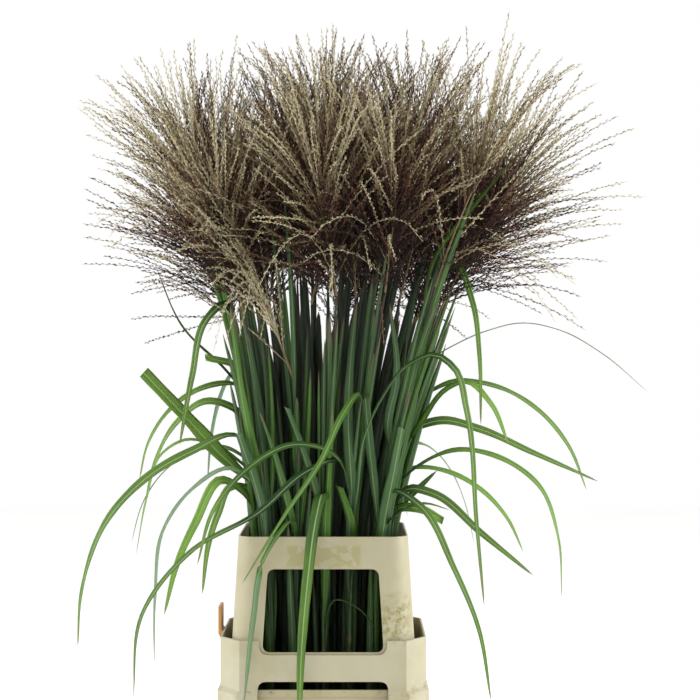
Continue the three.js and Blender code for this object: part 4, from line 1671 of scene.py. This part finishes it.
    def build_bucket(self) -> None:
        """The bucket: base, wall, shoulder and lip on the outside, then the inner wall down to the floor."""
        (low, high), rim = self.shoulder, self.bucket_rim_z
        lip = rim - self.lip_height
        rim_out = self.bucket_half(lip) + self.lip_out - self.bucket_half(rim)
        shoulder = self.lower_outline(self.flare, self.corner_steps)
        levels = [(z, self.bucket_outline(z)) for z in (0.0, low)]
        levels += [(z, shoulder) for z in (low, high)]
        levels += [(z, self.bucket_outline(z)) for z in (high, lip)]
        levels += [(z, self.bucket_outline(z, out)) for z, out in ((lip, self.lip_out), (rim, rim_out))]
        levels += [(z, self.bucket_outline(z, -self.wall)) for z in (rim, low, self.floor)]
        body = carried(outline_rings(levels), Ends.FLAT)
        adds = [self.tongue(-self.lower_half[0] - self.flare, high)]
        piece = self.carve("bucket_moulded", body, [], adds)
        finish = AgedPolypropylene(
            "aged_polypropylene_bucket", base="#9c9576", is_glued=False, lug_x=153, lug_z=100
        )
        piece.data.materials.append(finish.material())
        seat(piece, ["bucket"])

    def build_water(self) -> None:
        """The water: the bucket's inside up to its level, drawn up a little where it meets the wall."""
        inset, top = -self.wall - GAP, self.water_top
        levels = [(z, self.bucket_outline(z, inset)) for z in (self.floor + GAP, self.water_middle, top)]
        levels += [(top - down, self.bucket_outline(top, inset - away)) for down, away in self.meniscus]
        body = carried(outline_rings(levels), Ends.FLAT)
        piece = make_piece("water_body", [body], [StandingWater().material()])
        seat(piece, ["water"])

    def build(self) -> None:
        """Builds the whole holder and its water."""
        self.build_bucket()
        self.build_lower()
        self.build_upper()
        self.build_water()


# ---------------------------------------------------------------- leafy stems


@dataclass(frozen=True)
class Close:
    """A kind of thin leaf that stands close along a culm. Sizes in millimetres, each from least to most.

    Attributes:
        away: how far their tips stand off the culm.
    """

    count: int
    width: tuple[float, float]
    root: tuple[float, float]
    length: tuple[float, float]
    away: tuple[float, float]


@dataclass
class LeafyStem:
    """A culm with its sheaths and blades. Sizes in millimetres.

    Attributes:
        close_step: how far apart the sections of a leaf close to the culm stand.
        neck: a blade's width at its root, as a share.
        taper: the power by which it narrows to its tip.
        fold_turn: how far a folded face turns, in half turns.
        across: the places of a section's points, from edge to edge.
        keel: how deep the midrib stands out below.
        groove: how deep it is sunk above.
        channel: how deep the section is bent, as a share of the half width.
    """

    bundle: Bundle
    stem: Stem
    finishes: Sequence[bpy.types.Material]
    step: float = 9.0
    close_step: float = 26.0
    sections: tuple[int, int] = (12, 46)
    neck: float = 0.2
    widen: float = 3.4
    taper: float = 0.45
    cut_at: float = 0.6
    cut_slant: float = 0.7
    cut_dry: float = 0.86
    least_width: float = 0.3
    tip_back: float = 0.6
    sway: float = 0.12
    sways: tuple[float, float] = (0.8, 1.6)
    fold_turn: float = 0.94
    fold_half: float = 0.03
    across: tuple[float, ...] = (1, 0.62, 0.22, 0, -0.22, -0.62, -1)
    thick: float = 0.7
    keel: float = 0.7
    groove: float = 0.3
    rib_half: float = 0.14
    channel: float = 0.22
    root_channel: float = 0.5
    ripple: float = 0.05
    ripple_length: float = 60
    tint: tuple[float, float] = (0.42, 0.34)
    culm_radius: tuple[float, float] = (2.8, 1.7)
    culm_tint: tuple[float, float] = (0.45, 0.25)
    culm_ripens: tuple[float, float] = (550, 800)
    culm_sections: int = 90
    sheath_length: float = 170.0
    sheath_thick: float = 0.45
    joint_out: float = 0.5
    joint_half: float = 5
    flag: Close = Close(5, (8, 15), (440, 660), (230, 340), (8, 30))
    middle: Close = Close(3, (12, 19), (280, 420), (260, 360), (8, 26))
    old: Close = Close(3, (14, 22), (40, 150), (330, 420), (6, 18))

    def blade(self, blade: Blade, random: np.random.Generator, step: float) -> Skin:
        """A grass blade: its section is a shallow channel with a groove over the midrib and a keel below
        it, the width runs as a narrow neck, a full middle and a drawn-out tip, and the section is carried
        along a smooth curve and turned as it goes.

        Args:
            blade: where it runs and how wide it is.
            random: the stem's own draws for ripple and tint.
            step: how far apart its sections stand.

        Returns:
            The closed skin.
        """
        run = np.linalg.norm(np.diff(blade.path, axis=0), axis=1).sum()
        count = int(np.clip(run / step, *self.sections))
        path = even_curve(blade.path, count)
        v = np.linspace(0, 1, count)[:, None]
        s = v * (self.cut_at if blade.cut else 1.0)
        width = blade.width * np.minimum(1, self.neck + self.widen * s) * (1 - s) ** self.taper
        half = np.maximum(width, self.least_width) / 2
        along = unit(np.gradient(path, axis=0))
        path[-1] -= along[-1] * self.tip_back

        sway = np.sin(2 * np.pi * (v * random.uniform(*self.sways) + random.random()))
        angle = blade.lie + blade.turn * v + self.sway * sway
        if blade.fold is not None:
            folded = smoothstep(blade.fold - self.fold_half, blade.fold + self.fold_half, v)
            angle = angle + np.pi * self.fold_turn * folded
        flat = unit(np.cross(along, blade.side))
        side = blade.side * np.cos(angle) + flat * np.sin(angle)
        side = unit(side - along * (side * along).sum(axis=1, keepdims=True))
        up = np.cross(along, side)

        q = np.array(self.across + self.across[-2:0:-1])
        is_top = np.arange(len(q)) < len(self.across)
        body = self.thick / 2 * (1 - np.abs(q) ** 3)
        rib = np.exp(-((q / self.rib_half) ** 2))
        fading = 1 - 0.8 * v
        lift = np.where(is_top, body - self.groove * rib * fading, -body - self.keel * rib * fading)
        deep = self.channel + self.root_channel * np.exp(-v / 0.06)
        ripple = np.sin(2 * np.pi * (v * run / self.ripple_length + random.random()))
        bent = deep * np.abs(q) ** 1.3 + self.ripple * q * ripple
        lift = lift * np.minimum(1, half / 2) + half * bent
        slant = random.uniform(-self.cut_slant, self.cut_slant) if blade.cut else 0.0
        rings = (
            path[:, None]
            + side[:, None] * (half * q)[..., None]
            + up[:, None] * lift[..., None]
            + along[:, None] * (slant * half * q * v**12)[..., None]
        )
        qualities = {
            "across": q,
            "along": (v * (self.cut_dry if blade.cut else 1.0))[None],
            "tint": np.clip(random.normal(*self.tint), 0, 1),
            "upper": np.where(is_top, np.where(np.abs(q) == 1, 0.5, 1.0), 0.0),
            # open sets the painted shade deep in the bundle, beside the painted backlight out at its sides
            "open": self.bundle.openness(rings)[None],
            "beside": self.bundle.beside(rings)[None],
        }
        return carried(rings[None], Ends.POINTED, 0, **qualities)

    def culm(self, random: np.random.Generator) -> Skin:
        """The culm: a round tube that thins towards its top, thicker by a third of a millimetre where a
        leaf sheath wraps it below each blade, and swollen at the joint under each sheath.

        Args:
            random: the stem's own draws for the tint.

        Returns:
            The closed skin.
        """
        heights = np.linspace(self.bundle.foot_z, self.stem.top, self.culm_sections)
        path = self.bundle.point(self.stem.stand, heights)
        share = (heights - heights[0]) / (heights[-1] - heights[0])
        foot_radius, top_radius = self.culm_radius
        sheath, joint = np.zeros_like(heights), np.zeros_like(heights)
        for blade in self.stem.blades:
            root = blade.path[0][2]
            foot = root - self.sheath_length
            sheath = np.maximum(sheath, smoothstep(foot, foot + 6, heights) * (heights < root + 4))
            joint = np.maximum(joint, np.exp(-(((heights - foot) / self.joint_half) ** 2)))
        radius = foot_radius + (top_radius - foot_radius) * share
        radius = radius + self.sheath_thick * sheath + self.joint_out * joint
        ripened = 0.3 * smoothstep(*self.culm_ripens, heights)
        qualities = {
            "sheath": 0.8 * sheath,
            "joint": 0.7 * joint,
            "tint": np.clip(random.normal(*self.culm_tint) + ripened, 0, 1),
            # open sets the painted shade deep in the bundle
            "open": self.bundle.openness(path),
        }
        spread = {name: value[None, :, None] for name, value in qualities.items()}
        return carried(tube_rings(path[None], radius[None], 8), Ends.POINTED, 1, **spread)

    def close_leaves(self, kind: Close, random: np.random.Generator) -> list[Blade]:
        """Thin leaves that stand close along the culm.

        Args:
            kind: how many there are and how large they are.
            random: their own draws.

        Returns:
            The leaves.
        """
        leaves = []
        s = np.linspace(0, 1, 5)
        for _ in range(kind.count):
            root, length = random.uniform(*kind.root), random.uniform(*kind.length)
            azimuth, facing = random.uniform(0, 2 * np.pi), random.uniform(-0.6, 0.6)
            away = 2 + s**0.8 * random.uniform(*kind.away)
            path = self.bundle.point(self.stem.stand, root + s * length)
            path = path + away[:, None] * heading(azimuth)
            leaves.append(Blade(path, random.uniform(*kind.width), heading(facing)))
        return leaves

    def build(self) -> None:
        """Builds the leafy stem."""
        random = np.random.default_rng(500 + self.stem.index)
        draws = np.random.default_rng(700 + self.stem.index)
        skins = [self.culm(random)] + [self.blade(blade, random, self.step) for blade in self.stem.blades]
        for kind in (self.flag, self.middle, self.old):
            leaves = self.close_leaves(kind, draws)
            skins += [self.blade(leaf, random, self.close_step) for leaf in leaves]
        piece = make_piece(f"leafy_culm_{self.stem.number}", skins, self.finishes)
        seat(piece, [f"leafy_stem_{self.stem.number}"])


# ---------------------------------------------------------------- panicles


@dataclass
class Panicle:
    """An axis with its fan of beaded racemes. Sizes in millimetres; a pair goes from least to most.

    Attributes:
        is_front: whether it stands in front, where some racemes have come loose and curl.
        through: the blades that push through the plume, whose front the finer racemes leave free.
        free: how far from such a blade they stay.
        stray: how many curled racemes a panicle in front has.
        lift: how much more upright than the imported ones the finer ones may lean.
        reach: where on the axis the lowest starts, and how much higher the highest, as shares of it.
        filling: the squares of the least and the greatest share of the fan's spread that one takes.
        stand_off: how far a spikelet's foot stands off the rachis.
        sliver: the corners of a spikelet's faces: foot, left, right and tip.
        core_scale: how much each direction counts in the distance from the lobe's middle.
        own: a raceme's own ripeness, as a mean and a spread.
    """

    stem: Stem
    finish: bpy.types.Material
    low: Array
    high: Array
    is_front: bool
    through: Sequence[Blade]
    free: float = 12.0
    extra: int = 132
    stray: int = 5
    stray_sag: float = 0.35
    stray_wave: float = 4.0
    lift: float = 1.9
    forward: tuple[float, float, float] = (0.1, -0.4, 0)
    reach: tuple[float, float] = (0.06, 0.93)
    spread: tuple[float, float] = (1.5, 0.95)
    filling: tuple[float, float] = (0.03, 0.9)
    length: tuple[float, float] = (165, 254)
    margin: float = 6.0
    sag: tuple[float, float] = (0.02, 0.2)
    low_sag: float = 2.5
    wave: tuple[float, float] = (0.3, 2.3)
    waves: tuple[float, float] = (0.6, 1.8)
    steps: int = 7
    axis_radius: tuple[float, float] = (1.7, 0.9)
    axis_ripe: float = 0.62
    rachis_radius: tuple[float, float] = (0.7, 0.3)
    spikelets: int = 36
    spikelet_length: float = 7.6
    spikelet_radius: float = 1.25
    spikelet_lean: float = 0.18
    spikelet_belly: float = 0.42
    spikelet_size: tuple[float, float] = (0.75, 1.2)
    stand_off: float = 0.6
    grain: float = 0.28
    sliver: tuple[tuple[int, int, int], ...] = ((0, 2, 1), (3, 1, 2), (0, 1, 3), (0, 3, 2))
    # the lobe's middle and the distances over which the racemes pass from painted shade to painted light,
    # along with their ripening
    core: tuple[float, float, float] = (75, 0, 760)
    core_scale: tuple[float, float, float] = (1.2, 1, 0.8)
    ripens: tuple[float, float] = (170, 450)
    own: tuple[float, float] = (0.04, 0.3)

    def fan(self, random: np.random.Generator) -> Array:
        """Start, middle and tip of every raceme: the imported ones, and finer ones between them by the same
        rule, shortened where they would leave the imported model's box.

        Args:
            random: the panicle's own draws.

        Returns:
            Points as [raceme, 3, xyz].
        """
        is_low = self.stem.is_low
        n = self.extra // 2 if is_low else self.extra
        lift = random.uniform(0, self.lift, (n, 1)) * (0 if is_low else 1)
        away = unit(self.stem.away + lift * UP + is_low * np.array(self.forward))
        side, front = square_to(away)
        share = random.uniform(0.0, 1.0, n) ** np.where(np.arange(n) % 5 == 0, 1.6, 0.6)
        curve = even_curve(self.stem.axis, 60)
        share = 0.3 + 0.7 * share if is_low else share
        if self.is_front:
            share[: self.stray] *= 0.3
        foot, rise = self.reach
        start = curve[((foot + rise * share) * (len(curve) - 1)).astype(int)]
        angle = random.uniform(0, 2 * np.pi, n)
        wide, less = self.spread
        spread = (wide - less * share) * np.sqrt(random.uniform(*self.filling, n))
        spread = spread * (0.5 * self.stem.narrow if is_low else 1.0)
        lean = away + side * (spread * np.cos(angle))[:, None] + front * (spread * np.sin(angle))[:, None]
        along = unit(lean)
        length = random.uniform(*self.length, n)
        run = np.where(np.abs(along) < 1e-6, 1e-6, along)
        room = np.where(along > 0, self.high - start, self.low - start) / run
        length = np.minimum(length, room.min(axis=1) - self.margin)[:, None]
        sag = random.uniform(*self.sag, (n, 1)) * (self.low_sag if is_low else 1.0)
        if self.is_front:
            sag[: self.stray] += self.stray_sag
        middle, tip = start + along * length * 0.5, start + along * length - UP * length * sag
        finer = np.stack([start, middle, tip], axis=1)
        return np.concatenate([np.stack(self.stem.racemes), finer[~self.hides(finer)]])

    def hides(self, finer: Array) -> Array:
        """Which finer racemes would cross in front of a blade that pushes through the plume, as the
        photograph's eye sees them: both are carried along their lines of sight to the blade's middle depth
        and compared there. The curled ones may cross.

        Args:
            finer: start, middle and tip of each raceme.

        Returns:
            Whether each one does.
        """
        hidden = np.zeros(len(finer), bool)
        eye = np.array(Studio.eye) / MM
        run = parabola(finer, np.linspace(0, 1, 26)[None, :, None])
        for blade in self.through:
            line = even_curve(blade.path, 40)
            depth = line[:, 1].mean()
            flat, shown = (eye + (p - eye) * ((depth - eye[1]) / (p[..., 1:2] - eye[1])) for p in (run, line))
            apart = np.linalg.norm(flat[:, :, None, ::2] - shown[None, None, :, ::2], axis=-1)
            nearer = run[:, :, None, 1] < line[None, None, :, 1] + 4
            hidden |= ((apart < self.free) & nearer).any(axis=(1, 2))
        hidden[: self.stray] = False
        return hidden

    def place(self, fan: Array, waves: dict[str, Array], t: Array) -> Array:
        """Points of the racemes at shares t of their length: the parabola through start, middle and tip,
        with a slow wave to each side that grows towards the tip.

        Args:
            fan: start, middle and tip of each raceme.
            waves: each raceme's wave heights, counts and phases.
            t: shares as [raceme, step].

        Returns:
            Points as [raceme, step, xyz].
        """
        curve = parabola(fan, t[..., None])
        for k, direction in enumerate(square_to(unit(fan[:, 2] - fan[:, 0]))):
            swing = np.sin(2 * np.pi * (waves["count"][k] * t + waves["phase"][k]))
            curve = curve + (waves["height"][k] * t**1.5 * swing)[..., None] * direction[:, None]
        return curve

    def ripeness_and_shade(self, points: Array, own: Array) -> Array:
        """How ripe a place is, with painted shade and light laid in: more towards the outside and the top of
        its lobe, less down inside and low in the plume.

        Args:
            points: places as [..., xyz].
            own: the raceme's or the spikelet's own ripeness.

        Returns:
            The ripeness, from 0 to 1.1.
        """
        x, y, z = self.core
        core = np.array([math.copysign(x, self.stem.stand[0]), y, z])
        distance = np.linalg.norm((points - core) * np.array(self.core_scale), axis=-1)
        # painted shade and light: darker near the lobe's middle and low in the plume, paler out at its edge,
        # on top of the real ripening
        low = smoothstep(1080, 830, points[..., 2]) * (not self.stem.is_low)
        return np.clip(own + 1.05 * smoothstep(*self.ripens, distance) - 0.26 * low, 0, 1.1)

    def beads(self, fan: Array, waves: dict[str, Array], own: Array, random: np.random.Generator) -> Skin:
        """The spikelets: each is a sliver of four faces between two crossed edges, one from its foot to
        its tip and a short one across, and they lean out from the rachis to one side and the other in
        turn, so that a raceme looks beaded and zigzag.

        Args:
            fan: start, middle and tip of each raceme.
            waves: each raceme's waves.
            own: each raceme's own ripeness.
            random: the panicle's own draws.

        Returns:
            The closed skins of all spikelets.
        """
        shape = (len(fan), self.spikelets)
        order = np.arange(self.spikelets)
        t = 0.08 + 0.88 * (order + random.uniform(-0.3, 0.3, shape) + 0.5) / self.spikelets
        base = self.place(fan, waves, t)
        along = unit(self.place(fan, waves, t + 0.01) - base)
        side, front = square_to(along)
        turn = order * (np.pi + 0.5) + random.uniform(0, 2 * np.pi, (len(fan), 1))
        turn = turn + random.uniform(-0.5, 0.5, shape)
        out = side * np.cos(turn)[..., None] + front * np.sin(turn)[..., None]
        lean = self.spikelet_lean * random.uniform(0.5, 1.5, shape)[..., None]
        course = unit(along * np.cos(lean) + out * np.sin(lean))
        size = ((1.05 - 0.3 * t) * random.uniform(*self.spikelet_size, shape))[..., None]
        foot = base + out * self.stand_off * size
        across = unit(np.cross(course, out))
        beyond = np.cross(course, across)
        belly = foot + course * self.spikelet_length * self.spikelet_belly * size
        belly = belly - beyond * self.spikelet_radius * size
        half = across * self.spikelet_radius * size
        tip = foot + course * self.spikelet_length * size
        points = np.stack([foot, belly - half, belly + half, tip], axis=2)
        first = np.arange(order.size * len(fan))[:, None] * 4
        faces = np.concatenate([first + np.array(corner) for corner in self.sliver])
        mottled = own[:, None, None] + random.uniform(-self.grain, self.grain, shape)[..., None]
        return Skin(points.reshape(-1, 3), [faces], {"ripe": self.ripeness_and_shade(points, mottled).reshape(-1)})

    def build(self) -> None:
        """Builds the panicle."""
        random = np.random.default_rng(900 + self.stem.index)
        fan = self.fan(random)
        count, packed = len(fan), len(self.stem.racemes)
        loose = slice(packed, packed + self.stray)
        waves = {
            "height": random.uniform(*self.wave, (2, count, 1)),
            "count": random.uniform(*self.waves, (2, count, 1)),
            "phase": random.uniform(0, 1, (2, count, 1)),
        }
        waves["height"][:, :packed] *= 0.1
        own = random.normal(*self.own, count) - 0.1 * self.stem.stand[0]
        own = own * 1.6 + 0.64 if self.stem.is_low else own
        if self.is_front:
            waves["height"][:, loose] *= self.stray_wave
            own[loose] += 0.8
        t = np.broadcast_to(np.linspace(0, 0.985, self.steps), (count, self.steps))
        path = self.place(fan, waves, t)
        foot, tip = self.rachis_radius
        ripe = self.ripeness_and_shade(path, own[:, None])[..., None]
        rachis = carried(tube_rings(path, foot + (tip - foot) * t, 3), Ends.POINTED, 0, ripe=ripe)
        axis = even_curve(self.stem.axis, 14)[None]
        rings = tube_rings(axis, np.linspace(*self.axis_radius, axis.shape[1])[None], 6)
        stalk = carried(rings, Ends.POINTED, 0, ripe=np.array(self.axis_ripe))
        skins = [stalk, rachis, self.beads(fan, waves, own, random)]
        piece = make_piece(f"raceme_fan_{self.stem.number}", skins, [self.finish])
        seat(piece, [f"panicle_{self.stem.number}"])


# ---------------------------------------------------------------- studio


@dataclass(frozen=True)
class Lamp:
    """A square soft lamp. Sizes in metres.

    Attributes:
        tilt: how far it is tilted up from pointing down, in degrees.
        turn: how far it is turned about the vertical, in degrees.
    """

    name: str
    place: tuple[float, float, float]
    tilt: float
    turn: float
    power: float
    size: float = 1.6

    def build(self) -> None:
        """Hangs the lamp."""
        lamp = bpy.data.lights.new(self.name, "AREA")
        lamp.size, lamp.energy = self.size, self.power
        holder = place_in_scene(self.name, lamp)
        holder.location = self.place
        holder.rotation_euler = (math.radians(self.tilt), 0, math.radians(self.turn))


@dataclass
class Studio:
    """The pale floor, the soft light and the camera. Sizes in metres.

    Attributes:
        eye: where the camera stands, level and looking along +Y.
    """

    eye: tuple[float, float, float] = (0.0384, -2.708, 0.746)
    lens: float = 93.6
    sensor: float = 36.0
    floor_half: float = 6.0
    floor_lines: int = 9
    lamps: tuple[Lamp, ...] = (
        Lamp("key_lamp", (-0.9, -2.6, 2.9), 52, -18, 12.0),
        Lamp("left_lamp", (-2.3, -0.45, 1.3), 80, -79, 58.0),
        Lamp("right_lamp", (2.3, -0.45, 1.3), 80, 79, 68.0),
    )

    def build_floor(self) -> None:
        """The floor: a level square grid."""
        line = np.linspace(-1, 1, self.floor_lines) * self.floor_half / MM
        x, y = np.meshgrid(line, line)
        points = np.stack([x, y, np.zeros_like(x)], axis=-1).reshape(-1, 3)
        ids = np.arange(x.size).reshape(x.shape)
        faces = np.stack([ids[:-1, :-1], ids[:-1, 1:], ids[1:, 1:], ids[1:, :-1]], axis=-1).reshape(-1, 4)
        floor = make_piece("studio_floor", [Skin(points, [faces])], [PaintedFloor().material()])

    def build_light(self) -> None:
        """A white room all round, with a large soft lamp at each side and a weaker one above the camera."""
        world = bpy.data.worlds.new("white_room")
        world.use_nodes = True
        world.node_tree.nodes["Background"].inputs["Color"].default_value = linear("#ffffff")
        world.node_tree.nodes["Background"].inputs["Strength"].default_value = 1.0
        bpy.context.scene.world = world
        for lamp in self.lamps:
            lamp.build()

    def build_camera(self) -> None:
        """The camera, at the photograph's angle and framing."""
        camera = bpy.data.cameras.new("camera")
        camera.lens, camera.sensor_width = self.lens, self.sensor
        holder = place_in_scene("camera", camera)
        holder.location, holder.rotation_euler = self.eye, (math.pi / 2, 0, 0)
        bpy.context.scene.camera = holder

    def build(self) -> None:
        """Builds the studio."""
        self.build_camera()
        self.build_floor()
        self.build_light()
        bpy.context.scene.view_settings.view_transform = "Standard"


def main() -> None:
    """Builds the studio, the holder and the grass."""
    logging.basicConfig(level=logging.INFO, format="%(message)s")
    Studio().build()
    Holder().build()
    bundle = Bundle()
    bundle.grow()
    green = [LivingBlade().material(), LivingCulm().material()]
    straw = RipeningRaceme().material()
    low, high = (np.array(corner) / MM for corner in CAD_BOX)
    for stem in bundle.stems:
        LeafyStem(bundle, stem, green).build()
        Panicle(stem, straw, low, high, stem.stand[1] < FRONT_ROWS, bundle.through).build()


if __name__ == "__main__":
    main()
